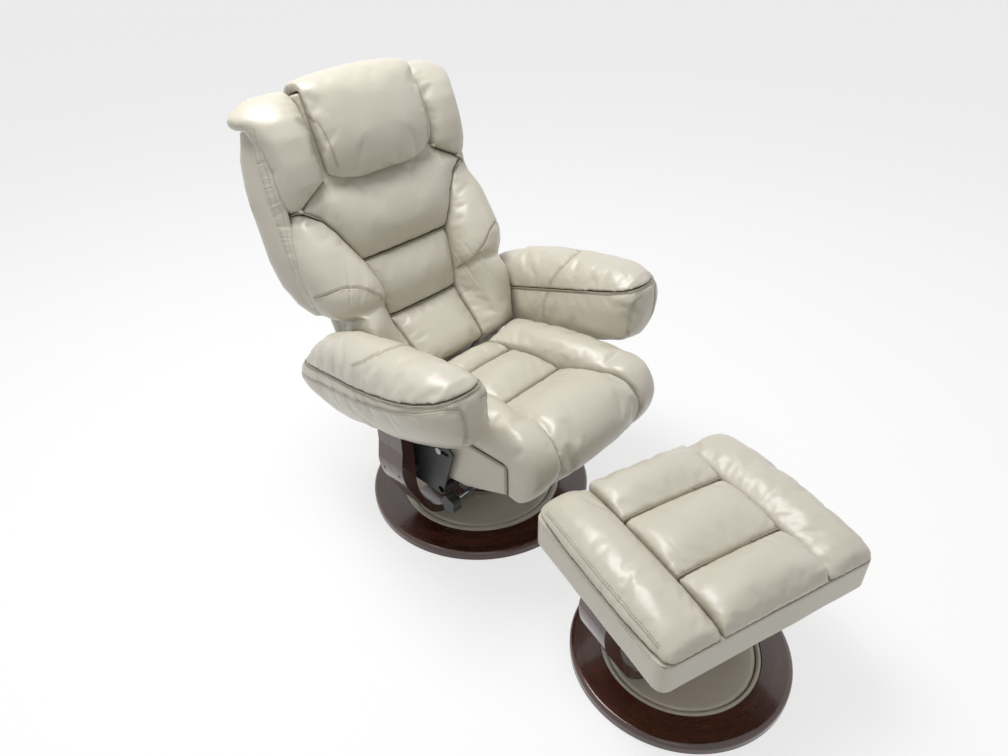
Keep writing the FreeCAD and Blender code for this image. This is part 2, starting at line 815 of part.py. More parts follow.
def guide_pins():
    """Shouldered pins from the seat frame through the slots of the side plates."""
    pins = []
    inner = frame_half - hanger_thickness
    reach = plate_inner_x + plate_thickness + side_clearance
    for place in guide_pin_places():
        start = V(inner, place.y, place.z)
        shank = rod(start, V(1, 0, 0), guide_pin_radius - running_fit, reach - inner)
        washer_x = plate_inner_x - side_clearance - washer_thickness
        washer = rod(V(washer_x, place.y, place.z), V(1, 0, 0), guide_washer_radius, washer_thickness)
        cap_x = plate_inner_x + plate_thickness + slide_fit
        cap = rod(V(cap_x, place.y, place.z), V(1, 0, 0), guide_washer_radius, side_clearance)
        pins.append(shank.fuse(washer).fuse(cap))
    return pins


# Back

def on_back(shape):
    """Move a piece from the upright back frame to its place on the chair."""
    placed = shape.copy()
    placed.rotate(V(0, 0, 0), V(1, 0, 0), -recline_rest)
    placed.translate(V(0, back_y, back_z))
    return placed


# Seam between the centre panels and the wings: place up the back, half width
panel_seam = (
    (back_low_s, 98.0),
    (between(back_low_s, seam_low_s, 0.38), 103.0),
    (between(back_low_s, seam_low_s, 0.58), 108.0),
    (seam_low_s, 116.0),
    (between(seam_low_s, seam_high_s, 0.57), 128.0),
    (seam_high_s, 140.0),
    (between(seam_high_s, wing_split_s, 0.365), 172.0),
    (between(seam_high_s, wing_split_s, 0.56), 187.0),
    (between(seam_high_s, wing_split_s, 0.81), 215.0),
    (wing_split_s, 258.0),
    (between(wing_split_s, panel_top_s, 0.065), 236.0),
    (between(wing_split_s, panel_top_s, 0.21), 172.0),
    (panel_top_s, 172.0),
)


def panel_half(s):
    """Half width of the back's centre panels."""
    return along(panel_seam, s) * back_share


def back_outer(s):
    """Half width of the wings: narrow between the arms, with a waist under the ears."""
    table = (
        (wide_from_s + 10.0, 262.0), (wide_from_s + 30.0, 290.0), (wide_from_s + 65.0, 303.0),
        (wide_from_s + 135.0, 306.0), (between(wide_from_s, wing_split_s, 0.75), 297.0),
        (wing_split_s, 277.0), (between(wing_split_s, ear_low_s, 0.18), 286.0),
        (between(wing_split_s, ear_low_s, 0.5), 287.0), (between(wing_split_s, ear_low_s, 0.93), 299.0),
        (between(ear_low_s, wing_top_s, 0.23), 323.0), (between(ear_low_s, wing_top_s, 0.48), 320.0),
        (between(ear_low_s, wing_top_s, 0.77), 296.0), (wing_top_s, 262.0),
    )
    if s <= wide_from_s:
        return back_low_half - soft_gap
    return along(table, s) * back_share


def back_section(half, s, front, crown):
    """Level section of a centre panel; front is how far its seams stand forward."""
    points = [V(-half, cushion_rear, s), V(half, cushion_rear, s), V(half, -front, s), V(-half, -front, s)]
    return section(points, [None, None, V(0, -crown, 0), None])


def with_bends(rows):
    """Rows of a back cushion, with one more wherever the seam beside it bends."""
    full = list(rows)
    for s, half in panel_seam:
        for low, high in zip(rows, rows[1:]):
            if low[0] + 1 < s < high[0] - 1:
                t = (s - low[0]) / (high[0] - low[0])
                full.append(tuple(a + (b - a) * t for a, b in zip(low, high)))
    return sorted(full)


def back_panel(rows):
    """Centre panel through rows of place, seam depth and crown."""
    wires = [back_section(panel_half(s) - soft_gap, s, front, crown) for s, front, crown in with_bends(rows)]
    return on_back(ruled(wires))


def lower_back_panel():
    """Panel that curves forward to meet the seat, and tucks back again under its bulge."""
    return back_panel((
        (back_low_s, 0.0, 2.0), (between(back_low_s, tuck_s, 0.65), 8.0, 2.0),
        (tuck_s, 42.0, 1.0), (tuck_s + 12.0, 71.0, 8.0), (tuck_s + 26.0, 73.0, 12.0),
        (between(tuck_s, seam_low_s, 0.37), 58.0, 14.0), (between(tuck_s, seam_low_s, 0.6), 34.0, 14.0),
        (between(tuck_s, seam_low_s, 0.8), 13.0, 13.0), (seam_low_s - 10.0, 2.0, 9.0),
        (seam_low_s, -3.0, 5.0),
    ))


def lumbar_panel():
    """Panel between the two cross seams."""
    rows = []
    for t in (0.0, 0.06, 0.2, 0.4, 0.6, 0.8, 0.94, 1.0):
        s = between(seam_low_s, seam_high_s, t)
        rows.append((s, -3.0 + 12.0 * swell(t), 5.0 + 12.0 * swell(t)))
    return back_panel(rows)


def upper_back_panel():
    """Broad panel above the lumbar, flat where the head pillow lies."""
    return back_panel((
        (seam_high_s, -3.0, 5.0), (seam_high_s + 14.0, 4.0, 11.0),
        (between(seam_high_s, wing_split_s, 0.37), 8.0, 16.0),
        (between(seam_high_s, wing_split_s, 0.65), 6.0, 20.0), (wing_split_s, -2.0, 24.0),
        (wing_split_s + 16.0, -4.0, 14.0), (pillow_low_s - 3.0, -9.0, 0.6), (panel_top_s, -9.0, 0.6),
    ))


def wing_section(s, edge, front, crown, lean, rear):
    """Level section of a wing: from its inner seam it bows forward and out to its edge.

    Edge is the depth of its outermost line, front how far its inner seam stands forward,
    lean how far the bow leans outwards, and rear the depth of its flat rear.
    """
    inner = panel_half(s) + soft_gap
    outer = back_outer(s)
    points = [
        V(inner, rear, s), V(outer - wing_rear_pull, rear, s), V(outer, edge, s), V(inner, -front, s),
    ]
    return section(points, [None, V(wing_rear_pull / 2, 0, 0), V((outer - inner) * lean, -crown, 0), None])


def lower_wing():
    """Wing beside the lumbar, on the sitter's left; it hugs the sitter's sides."""
    r = cushion_rear
    rows = (
        (back_low_s, 20.0, -2.0, 3.0, 0.05, r), (between(back_low_s, tuck_s, 0.65), 4.0, 6.0, 4.0, 0.05, r),
        (tuck_s, -36.0, 40.0, 2.0, 0.05, r), (tuck_s + 12.0, -62.0, 69.0, 8.0, 0.05, r),
        (tuck_s + 26.0, -68.0, 71.0, 12.0, 0.08, r),
        (between(tuck_s, seam_low_s, 0.37), -76.0, 56.0, 18.0, 0.08, r),
        (between(tuck_s, seam_low_s, 0.6), -88.0, 32.0, 18.0, 0.06, r),
        (between(tuck_s, seam_low_s, 0.85), -96.0, 10.0, 16.0, 0.02, r),
        (seam_low_s + 10.0, -96.0, -4.0, 16.0, -0.02, r), (wide_from_s - 2.0, -84.0, -2.0, 20.0, 0.0, r),
        (wide_from_s + 10.0, -56.0, -1.0, 40.0, 0.1, r), (wide_from_s + 30.0, -26.0, 0.0, 62.0, 0.2, r),
        (wide_from_s + 65.0, -8.0, 0.0, 66.0, 0.24, r), (seam_high_s + 6.0, 0.0, 0.0, 52.0, 0.22, r),
        (between(seam_high_s, wing_split_s, 0.4), 8.0, 0.0, 36.0, 0.16, r),
        (between(seam_high_s, wing_split_s, 0.72), 28.0, 0.0, 20.0, 0.12, r),
        (wing_split_s, 44.0, -2.0, 3.0, 0.08, r),
    )
    return on_back(ruled([wing_section(*row) for row in with_bends(rows)]))


def upper_wing():
    """Wing beside the head pillow, on the sitter's left; its ear wraps over the shell's top."""
    r = cushion_rear
    ear_rear = pillow_rear + 10.0
    rows = (
        (wing_split_s + soft_gap, 44.0, -2.0, 3.0, 0.08, r),
        (between(wing_split_s, ear_low_s, 0.1), 22.0, 0.0, 14.0, 0.12, r),
        (between(wing_split_s, ear_low_s, 0.26), 6.0, 0.0, 26.0, 0.14, r),
        (between(wing_split_s, ear_low_s, 0.5), 2.0, 2.0, 30.0, 0.14, r),
        (between(wing_split_s, ear_low_s, 0.78), 12.0, 2.0, 32.0, 0.14, r),
        (ear_low_s - 3.0, 34.0, -2.0, 28.0, 0.14, r), (ear_low_s, 38.0, -3.0, 27.0, 0.14, ear_rear - 6.0),
        (between(ear_low_s, wing_top_s, 0.23), 52.0, -6.0, 24.0, 0.12, ear_rear),
        (between(ear_low_s, wing_top_s, 0.48), 58.0, -14.0, 20.0, 0.12, ear_rear + 2.0),
        (between(ear_low_s, wing_top_s, 0.77), 58.0, -28.0, 14.0, 0.1, ear_rear - 2.0),
        (wing_top_s, 60.0, -48.0, 4.0, 0.05, ear_rear - 12.0),
    )
    return on_back(ruled([wing_section(*row) for row in with_bends(rows)]))


def shell_section(s, half, rear, shoulder, wall):
    """Level section of the rear cover, or of its hollow; shoulder is its flat share."""
    front = cushion_rear + soft_gap
    wide = half * back_share - wall
    corner = wide * shoulder
    points = [V(-wide, front, s), V(wide, front, s), V(corner, rear - wall, s), V(-corner, rear - wall, s)]
    depth = rear - front
    bow = V(wide * 0.08, depth * 0.13, 0)
    return section(points, [None, bow, V(0, 10, 0), V(-bow.x, bow.y, 0)])


def back_shell():
    """Rear cover, hollow for the steel frame."""
    rows = (
        (back_low_s, 233.0, 104.0, 0.82), (between(back_low_s, seam_low_s, 0.5), 233.0, 122.0, 0.82),
        (wide_from_s, 233.0, 136.0, 0.82), (wide_from_s + 15.0, 270.0, 138.0, 0.83),
        (wide_from_s + 55.0, 300.0, 140.0, 0.84), (wide_from_s + 105.0, 310.0, 150.0, 0.9),
        (seam_high_s + 60.0, 314.0, 158.0, 0.92), (wing_split_s, 312.0, 158.0, 0.92),
        (between(wing_split_s, ear_low_s, 0.4), 310.0, 152.0, 0.92),
        (between(wing_split_s, ear_low_s, 0.7), 304.0, 142.0, 0.9), (shell_top_s, 290.0, 120.0, 0.88),
    )
    outer = []
    inner = []
    for s, half, rear, shoulder in rows:
        outer.append(shell_section(s, half - shell_inset, rear, shoulder, 0))
        inside_s = min(max(s, back_low_s + shell_wall), shell_top_s - shell_wall)
        inner.append(shell_section(inside_s, half - shell_inset, rear, shoulder, shell_wall))
    shell = ruled(outer).cut(ruled(inner))
    hole_start = V(-back_low_half * 1.5, tube_depth, tube_low_s)
    holes = rod(hole_start, V(1, 0, 0), tube_radius + loose_fit, back_low_half * 3)
    return on_back(shell.cut(holes))


def back_frame():
    """Steel tube frame with the pivot lugs welded on its lower cross tube."""
    height = tube_top_s - tube_low_s
    lug_x = seat_half_width + side_clearance
    parts = [
        rod(V(-tube_x, tube_depth, tube_low_s), V(0, 0, 1), tube_radius, height),
        rod(V(tube_x, tube_depth, tube_low_s), V(0, 0, 1), tube_radius, height),
        rod(V(-tube_x, tube_depth, tube_top_s), V(1, 0, 0), tube_radius, 2 * tube_x),
        rod(V(-lug_x, tube_depth, tube_low_s), V(1, 0, 0), tube_radius, 2 * lug_x),
        Part.makeSphere(tube_radius, V(-tube_x, tube_depth, tube_top_s)),
        Part.makeSphere(tube_radius, V(tube_x, tube_depth, tube_top_s)),
    ]
    frame = on_back(parts[0].multiFuse(parts[1:]))
    tube_end = on_back(Part.Vertex(0, tube_depth, tube_low_s)).Point
    lugs = []
    for sign in (-1, 1):
        x0 = min(sign * lug_x, sign * (lug_x + lug_thickness))
        lugs.append(pivot_lug(x0, tube_end))
    pin = welded_drive_pin()
    return frame.multiFuse(lugs + [pin, mirrored(pin)]).removeSplitter()


def pivot_lug(x0, tube_end):
    """Flat lever from the cross tube to the hip pivot and down to the drive pin."""
    x1 = x0 + lug_thickness
    eye = pivot_bolt_radius * 2.2    # half width of the lever at the pivot
    foot = drive_pin_radius * 2
    upper = slot(pivot, V(0, tube_end.y, tube_end.z), eye, x0, x1)
    lower = slot(pivot, drive_pin, foot, x0, x1)
    lug = upper.fuse(lower)
    return lug.cut(rod(V(x0, pivot_y, pivot_z), V(1, 0, 0), pivot_bolt_radius, lug_thickness))


def welded_drive_pin():
    """Pin at the lower end of a lever that pushes the seat forward."""
    inner = frame_half - hanger_thickness
    outer = seat_half_width + side_clearance + lug_thickness
    start = V(inner, drive_pin.y, drive_pin.z)
    return rod(start, V(1, 0, 0), drive_pin_radius - running_fit, outer - inner)


def back_webbing():
    """Straps across the back frame, behind the cushions."""
    front = cushion_rear + soft_gap
    rear = front + webbing_thickness
    half = webbing_width / 2
    straps = []
    for s in spaced(tube_low_s + 60, tube_top_s - 40, back_webbing_count):
        straps.append(box(-back_strap_half, back_strap_half, front, rear, s - half, s + half))
    return on_back(group(straps))


def head_pillow():
    """Pillow that hangs over the top of the back, with a flap behind it."""
    rear = 8.0
    top = panel_top_s + 2.0
    flap_front = cushion_rear + soft_gap
    wires = []
    for t in (-1.0, -0.93, -0.78, -0.45, 0.0, 0.45, 0.78, 0.93, 1.0):
        pull = 0.6 * abs(t) ** 4
        x = pillow_half * t
        low = pillow_low_s + 50 * pull
        high = pillow_top_s - 6 * pull
        face = -46 + 34 * pull
        points = [
            V(x, rear, top), V(x, rear, low), V(x, min(face + 30, rear - 8), low - 4 * (1 - pull)),
            V(x, face, low + 70), V(x, face + 14, high - 44), V(x, 42, high),
            V(x, pillow_rear, high - 22), V(x, pillow_rear, ear_low_s), V(x, flap_front, ear_low_s),
            V(x, flap_front, top),
        ]
        bows = [
            None, None, V(0, -6, -6), V(0, -2, 0), V(0, -8 - 10 * (1 - pull), 10), V(0, 4, 6),
            None, None, None, None,
        ]
        wires.append(section(points, bows))
    return on_back(ruled(wires))


# Arms

def arm_section(y, inner, crest_x, crest_z, outer, outer_z, low_x, low_z):
    """Upright section across an arm: flat inner face, round top, bulge and belly."""
    shoulder = crest_z - (crest_z - outer_z) * 0.75
    points = [
        V(inner, y, low_z + 14), V(inner, y, shoulder), V(crest_x, y, crest_z), V(outer, y, outer_z),
        V(low_x, y, low_z),
    ]
    height = outer_z - low_z
    bows = [
        None, V(-(crest_x - inner) * 0.16, 0, (crest_z - shoulder) * 0.24),
        V((outer - crest_x) * 0.22, 0, (crest_z - outer_z) * 0.22), V(14, 0, -height * 0.12), None,
    ]
    return section(points, bows)


def arm_whole():
    """Whole padded arm on the sitter's left, from front to rear."""
    rows = (
        (-304.0, 26.0, 72.0, 602.0, 106.0, 566.0, 60.0, 510.0),
        (-294.0, 10.0, 72.0, 626.0, 126.0, 572.0, 62.0, 484.0),
        (-270.0, 2.0, 74.0, 642.0, 148.0, 576.0, 66.0, 464.0),
        (-225.0, 0.0, 78.0, 648.0, 162.0, 576.0, 70.0, 446.0),
        (-170.0, 0.0, 80.0, 644.0, 166.0, 566.0, 72.0, 426.0),
        (-90.0, 0.0, 82.0, 636.0, 160.0, 552.0, 72.0, 396.0),
        (0.0, 0.0, 82.0, 624.0, 148.0, 530.0, 70.0, 366.0),
        (100.0, 0.0, 80.0, 603.0, 128.0, 500.0, 66.0, 340.0),
        (190.0, 2.0, 72.0, 560.0, 110.0, 466.0, 62.0, 334.0),
        (260.0, 8.0, 62.0, 500.0, 98.0, 436.0, 58.0, 340.0),
        (310.0, 18.0, 56.0, 446.0, 84.0, 410.0, 56.0, 356.0),
        (334.0, 32.0, 54.0, 414.0, 70.0, 398.0, 54.0, 372.0),
    )
    sections = []
    for y, inner, crest, crest_z, outer, outer_z, low, low_z in rows:
        i = arm_inner_x
        sections.append(arm_section(y, i + inner, i + crest, crest_z, i + outer, outer_z, i + low, low_z))
    return ruled(sections)


def above_arm_seam(gap):
    """Space above the seam between the arm's pad and its body."""
    def height(y):
        return arm_seam_z - arm_seam_slope * y + gap
    reach = arm_half_length
    outline = [(-reach, height(-reach)), (reach, height(reach)), (reach, arm_top_z), (-reach, arm_top_z)]
    return slab_yz(outline, arm_inner_x - arm_half_length, arm_inner_x + arm_half_length)


# Side outline of the board inside an arm
arm_core_outline = ((-165.0, 462.0), (-165.0, 560.0), (140.0, 468.0), (140.0, 384.0), (-50.0, 410.0))


def arm_core():
    """Board inside the arm, outside the yoke's upright."""
    x0 = chair_yoke_outer_x + soft_gap
    core = slab_yz(arm_core_outline, x0, x0 + arm_core_thickness)
    for z in arm_bolt_zs:
        core = core.cut(rod(V(x0, 0, z), V(1, 0, 0), arm_bolt_radius, arm_core_thickness))
    return core


def arm_bolts():
    """Bolts through the upright into the arm's core."""
    bolts = []
    head_x = upright_inner_x - yoke_bolt_head_height
    end_x = chair_yoke_outer_x + soft_gap + arm_core_thickness
    for z in arm_bolt_zs:
        head = rod(V(head_x, 0, z), V(1, 0, 0), yoke_bolt_head_radius, yoke_bolt_head_height)
        shank = rod(V(head_x, 0, z), V(1, 0, 0), arm_bolt_radius - running_fit, end_x - head_x)
        bolts.append(head.fuse(shank))
    return bolts


def arm_body(whole):
    """Lower half of the arm, hollowed for the upright, its bolts and the core."""
    body = whole.cut(above_arm_seam(-soft_gap))
    half = yoke_depth / 2 + soft_gap
    hollow_x = upright_inner_x - yoke_bolt_head_height - soft_gap
    core_x = chair_yoke_outer_x + arm_core_thickness + 2 * soft_gap
    upright = box(hollow_x, core_x, -half, half, 0, chair_yoke_top + soft_gap)
    middle_y = sum(y for y, z in arm_core_outline) / len(arm_core_outline)
    middle_z = sum(z for y, z in arm_core_outline) / len(arm_core_outline)
    outline = [(between(middle_y, y, arm_core_room), between(middle_z, z, arm_core_room))
               for y, z in arm_core_outline]
    core = slab_yz(outline, chair_yoke_outer_x, core_x)
    skirt = box(0, arm_skirt_x, -arm_half_length, arm_half_length, 0, arm_skirt_z)
    return body.cut(upright).cut(core).cut(skirt)


# Ottoman, built about its own centre and then moved to its place

def on_ottoman(shape):
    """Move a piece of the ottoman to where it stands."""
    placed = shape.copy()
    placed.rotate(V(0, 0, 0), V(0, 0, 1), ottoman_turn)
    placed.translate(V(ottoman_x, ottoman_y, 0))
    return placed


def ottoman_panel(near, far, x_half):
    """One of the centre panels, crowned both ways."""
    wires = []
    for t in (0.0, 0.06, 0.2, 0.4, 0.6, 0.8, 0.94, 1.0):
        y = near + (far - near) * t
        seam = ottoman_seam_z + ottoman_crown * 0.45 * swell(t)
        if abs(y) >= ottoman_half_y:
            seam = ottoman_box_high + ottoman_edge
        points = [
            V(-x_half, y, ottoman_box_high + soft_gap), V(x_half, y, ottoman_box_high + soft_gap),
            V(x_half, y, seam), V(-x_half, y, seam),
        ]
        wires.append(section(points, [None, None, V(0, 0, 1.5 + ottoman_crown * 0.5 * swell(t)), None]))
    return ruled(wires)


def ottoman_bolster():
    """Side bolster along one short side, drawn in at its ends."""
    wires = []
    inner = ottoman_seam_x + soft_gap
    low = ottoman_box_high + soft_gap
    for t in (0.0, 0.03, 0.1, 0.25, 0.5, 0.75, 0.9, 0.97, 1.0):
        y = -ottoman_half_y + 2 * ottoman_half_y * t
        full = swell(t) ** 0.5
        outer = ottoman_half_x - 26 * (1 - full)
        top = ottoman_seam_z - 22 * (1 - full)
        edge = low + 8 + 22 * full
        points = [V(inner, y, low), V(outer, y, low), V(outer, y, edge), V(inner, y, top)]
        wires.append(section(points, [None, V(3, 0, 0), V(14 * full + 3, 0, 24 * full + 2), None]))
    return ruled(wires)


def ottoman_apron():
    """Leather side walls of the ottoman's box."""
    x = ottoman_half_x - ottoman_box_inset
    y = ottoman_half_y - ottoman_box_inset
    w = ottoman_box_wall
    outer = box(-x, x, -y, y, ottoman_box_low, ottoman_box_high)
    corner_edges = [e for e in outer.Edges if abs(e.tangentAt(e.FirstParameter).z) > 0.9]
    outer = outer.makeFillet(ottoman_box_corner, corner_edges)
    return outer.cut(box(-x + w, x - w, -y + w, y - w, ottoman_box_low, ottoman_box_high))


def ottoman_frame():
    """Timber box with a top board and blocks that the yoke is bolted to."""
    inset = ottoman_box_inset + ottoman_box_wall + soft_gap
    x = ottoman_half_x - inset
    y = ottoman_half_y - inset
    board_low = ottoman_box_high - ottoman_board
    low = ottoman_box_low + side_clearance
    block = ottoman_yoke_outer_x - yoke_upright_thickness - soft_gap
    rails = [
        box(-x, x, y - rail_width, y, low, board_low),
        box(-x, x, -y, rail_width - y, low, board_low),
        box(block - rail_width, block, -y, y, low, board_low),
        box(-block, rail_width - block, -y, y, low, board_low),
    ]
    frame = box(-x, x, -y, y, board_low, ottoman_box_high)
    return frame.multiFuse(rails).removeSplitter()


def ottoman_bolts():
    """Bolts through the uprights into the frame's blocks."""
    bolts = []
    head_x = ottoman_yoke_outer_x
    inner = ottoman_yoke_outer_x - yoke_upright_thickness - soft_gap - rail_width
    for y in ottoman_bolt_ys:
        start = V(inner, y, ottoman_bolt_z)
        shank = rod(start, V(1, 0, 0), side_bolt_radius - running_fit, head_x - inner)
        head_place = V(head_x, y, ottoman_bolt_z)
        head = rod(head_place, V(1, 0, 0), side_bolt_radius * bolt_head_share, side_bolt_head)
        bolts.append(shank.fuse(head))
        bolts.append(mirrored(shank.fuse(head)))
    return bolts


def ottoman_bolt_holes():
    """Clearance for the side bolts."""
    holes = []
    for y in ottoman_bolt_ys:
        start = V(-ottoman_half_x, y, ottoman_bolt_z)
        holes.append(rod(start, V(1, 0, 0), side_bolt_radius, 2 * ottoman_half_x))
    return group(holes)


# Chair base
keep("base_ring", base_ring(chair_ring_outer, chair_ring_inner))
keep("base_board", base_board(chair_ring_outer, chair_ring_inner))
keep("base_screws", base_screws(chair_ring_outer, chair_ring_inner))
keep("base_inlay_pad", base_pad(chair_ring_inner, chair_piping_width))
keep("base_piping", base_piping(chair_ring_inner, chair_piping_width))
keep("base_floor_glides", base_glides(chair_ring_outer))
keep("bearing_lower_plate", bearing_lower_plate())
keep("bearing_balls", bearing_balls())

# Chair frame
yoke = bent_yoke(chair_yoke_outer_x, chair_yoke_top)
yoke_reach = chair_yoke_outer_x + 20
side_holes = [rod(V(-yoke_reach, y, side_bolt_z), V(1, 0, 0), side_bolt_radius, 2 * yoke_reach)
              for y in side_bolt_ys]
arm_holes = [rod(V(-yoke_reach, 0, z), V(1, 0, 0), arm_bolt_radius, 2 * yoke_reach)
             for z in arm_bolt_zs]
keep("bearing_upper_plate", bearing_upper_plate())
keep("bentwood_yoke", yoke.cut(group(side_holes + arm_holes)))
keep("yoke_bolts", yoke_bolts())
plate = mechanism_plate()
keep("left_mechanism_plate", plate)
keep("right_mechanism_plate", mirrored(plate))
keep("mechanism_cross_tubes", cross_tubes())
bolts = side_bolts() + arm_bolts()
keep("upright_bolts", group(bolts + [mirrored(b) for b in bolts]))
keep("hip_pivot_bolts", group([pivot_bolt(), mirrored(pivot_bolt())]))
keep("knob_bracket", lock_bracket())
whole_arm = arm_whole()
body = arm_body(whole_arm)
pad = whole_arm.common(above_arm_seam(0))
core = arm_core()
keep("left_arm_core", core)
keep("right_arm_core", mirrored(core))
keep("left_arm_body", body)
keep("right_arm_body", mirrored(body))
keep("left_arm_pad", pad)
keep("right_arm_pad", mirrored(pad))

# Knob
keep("recline_knob", recline_knob())
keep("knob_rod", knob_rod())

# Seat
keep("seat_frame", seat_frame())
keep("seat_webbing", seat_webbing())
pins = guide_pins()
keep("seat_guide_pins", group(pins + [mirrored(p) for p in pins]))
keep("seat_apron", seat_apron())
keep("seat_rear_panel", seat_rear_panel())
middle = seat_panel(seam_bc_y + soft_gap, seam_ab_y - soft_gap, 12.0, 14.0, seam_z)
keep("seat_middle_panel", middle)
keep("seat_front_panel", seat_front_panel())
bolster = seat_bolster()
keep("left_seat_bolster", bolster)
keep("right_seat_bolster", mirrored(bolster))

# Back
keep("back_frame", back_frame())
keep("back_webbing", back_webbing())
keep("back_shell", back_shell())
keep("lower_back_panel", lower_back_panel())
keep("lumbar_panel", lumbar_panel())
keep("upper_back_panel", upper_back_panel())
wing = lower_wing()
keep("left_lower_wing", wing)
keep("right_lower_wing", mirrored(wing))
wing = upper_wing()
keep("left_upper_wing", wing)
keep("right_upper_wing", mirrored(wing))
keep("head_pillow", head_pillow())

# Ottoman
keep("ottoman_ring", on_ottoman(base_ring(ottoman_ring_outer, ottoman_ring_inner)))
keep("ottoman_base_board", on_ottoman(base_board(ottoman_ring_outer, ottoman_ring_inner)))
keep("ottoman_inlay_pad", on_ottoman(base_pad(ottoman_ring_inner, ottoman_piping_width)))
keep("ottoman_piping", on_ottoman(base_piping(ottoman_ring_inner, ottoman_piping_width)))
keep("ottoman_floor_glides", on_ottoman(base_glides(ottoman_ring_outer)))
keep("ottoman_bearing", on_ottoman(group([bearing_lower_plate(), bearing_upper_plate()])))
yoke = bent_yoke(ottoman_yoke_outer_x, ottoman_yoke_top).cut(ottoman_bolt_holes())
keep("ottoman_yoke", on_ottoman(yoke))
screws = base_screws(ottoman_ring_outer, ottoman_ring_inner)
keep("ottoman_fasteners", on_ottoman(group([screws, yoke_bolts()] + ottoman_bolts())))
keep("ottoman_frame", on_ottoman(ottoman_frame().cut(ottoman_bolt_holes())))
keep("ottoman_apron", on_ottoman(ottoman_apron()))
near = ottoman_panel(ottoman_seam_y + soft_gap, ottoman_half_y, ottoman_seam_x)
keep("ottoman_near_panel", on_ottoman(near))
middle = ottoman_panel(-ottoman_seam_y, ottoman_seam_y, ottoman_seam_x)
keep("ottoman_middle_panel", on_ottoman(middle))
far = ottoman_panel(-ottoman_half_y, -ottoman_seam_y - soft_gap, ottoman_seam_x)
keep("ottoman_far_panel", on_ottoman(far))
bolster = ottoman_bolster()
keep("ottoman_left_bolster", on_ottoman(bolster))
keep("ottoman_right_bolster", on_ottoman(mirrored(bolster)))

os.makedirs("parts", exist_ok=True)
for name, shape in nodes.items():
    shape.exportStep(os.path.join("parts", name + ".step"))
print(len(nodes), "nodes written")
for name, shape in nodes.items():
    if not shape.isValid() or shape.Volume <= 0:
        print("check", name, shape.isValid(), round(shape.Volume))
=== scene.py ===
"""Looks of a round-base swivel recliner with its ottoman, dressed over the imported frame."""

import sys

import json
import logging
import math
from dataclasses import dataclass, field
from enum import Enum
from typing import Any, Iterable, Sequence

import bmesh
import bpy
import numpy as np
from mathutils import Matrix, Vector, noise
from mathutils.bvhtree import BVHTree


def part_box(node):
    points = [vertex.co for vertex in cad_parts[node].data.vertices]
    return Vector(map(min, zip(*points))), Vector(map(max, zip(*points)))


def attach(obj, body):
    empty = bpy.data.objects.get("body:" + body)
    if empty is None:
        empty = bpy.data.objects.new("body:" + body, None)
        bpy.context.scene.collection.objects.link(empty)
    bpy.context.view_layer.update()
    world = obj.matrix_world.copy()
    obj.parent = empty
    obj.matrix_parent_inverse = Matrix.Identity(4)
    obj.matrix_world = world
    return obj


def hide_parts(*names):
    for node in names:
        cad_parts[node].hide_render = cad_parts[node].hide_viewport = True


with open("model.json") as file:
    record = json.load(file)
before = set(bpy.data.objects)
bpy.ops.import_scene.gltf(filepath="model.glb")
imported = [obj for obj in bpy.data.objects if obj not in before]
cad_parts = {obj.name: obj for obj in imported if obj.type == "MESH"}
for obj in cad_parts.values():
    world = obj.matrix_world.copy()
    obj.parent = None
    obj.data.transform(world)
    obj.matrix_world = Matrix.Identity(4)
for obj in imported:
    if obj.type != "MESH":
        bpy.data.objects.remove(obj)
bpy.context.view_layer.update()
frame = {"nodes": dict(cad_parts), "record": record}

log = logging.getLogger("recliner")
Colour = tuple[float, float, float]
Point = tuple[float, float, float]
DOUBLE_ROW = (-0.006, 0.006)
OTTOMAN_CENTRE = (-0.1055, -0.733)


def on_ottoman(x: float, y: float, z: float) -> Point:
    """A place on the ottoman, in millimetres from its middle, as a point in metres.

    Args:
        x: along the ottoman's width.
        y: along its depth.
        z: height above the floor.

    Returns:
        The point.
    """
    turn = math.radians(-18.3)
    away = (math.cos(turn) * x - math.sin(turn) * y, math.sin(turn) * x + math.cos(turn) * y)
    return (OTTOMAN_CENTRE[0] + away[0] / 1000, OTTOMAN_CENTRE[1] + away[1] / 1000, z / 1000)


# ---------------------------------------------------------------- shader maths


class Value:
    """A shader socket that takes part in plain arithmetic."""

    def __init__(self, graph: "Graph", socket: bpy.types.NodeSocket) -> None:
        """Keeps the graph and the socket that the value comes from."""
        self.graph = graph
        self.socket = socket

    def _math(self, operation: str, *values: Any) -> "Value":
        """Adds one Math node.

        Args:
            operation: the node's operation.
            values: its inputs in order.

        Returns:
            The node's result.
        """
        node = self.graph.node("ShaderNodeMath", {"operation": operation}, dict(enumerate(values)))
        return Value(self.graph, node.outputs[0])

    def __add__(self, other: Any) -> "Value":
        """Sum."""
        return self._math("ADD", self, other)

    def __sub__(self, other: Any) -> "Value":
        """Difference."""
        return self._math("SUBTRACT", self, other)

    def __rsub__(self, other: Any) -> "Value":
        """Reflected difference."""
        return self._math("SUBTRACT", other, self)

    def __mul__(self, other: Any) -> "Value":
        """Product."""
        return self._math("MULTIPLY", self, other)

    def __truediv__(self, other: Any) -> "Value":
        """Quotient."""
        return self._math("DIVIDE", self, other)

    __radd__ = __add__
    __rmul__ = __mul__

    def size(self) -> "Value":
        """Value without its sign."""
        return self._math("ABSOLUTE", self)

    def sine(self) -> "Value":
        """Sine of the value."""
        return self._math("SINE", self)

    def root(self) -> "Value":
        """Square root of the value."""
        return self._math("SQRT", self)

    def clamped(self) -> "Value":
        """Value held between 0 and 1."""
        node = self.graph.node("ShaderNodeClamp", {}, {"Value": self})
        return Value(self.graph, node.outputs[0])


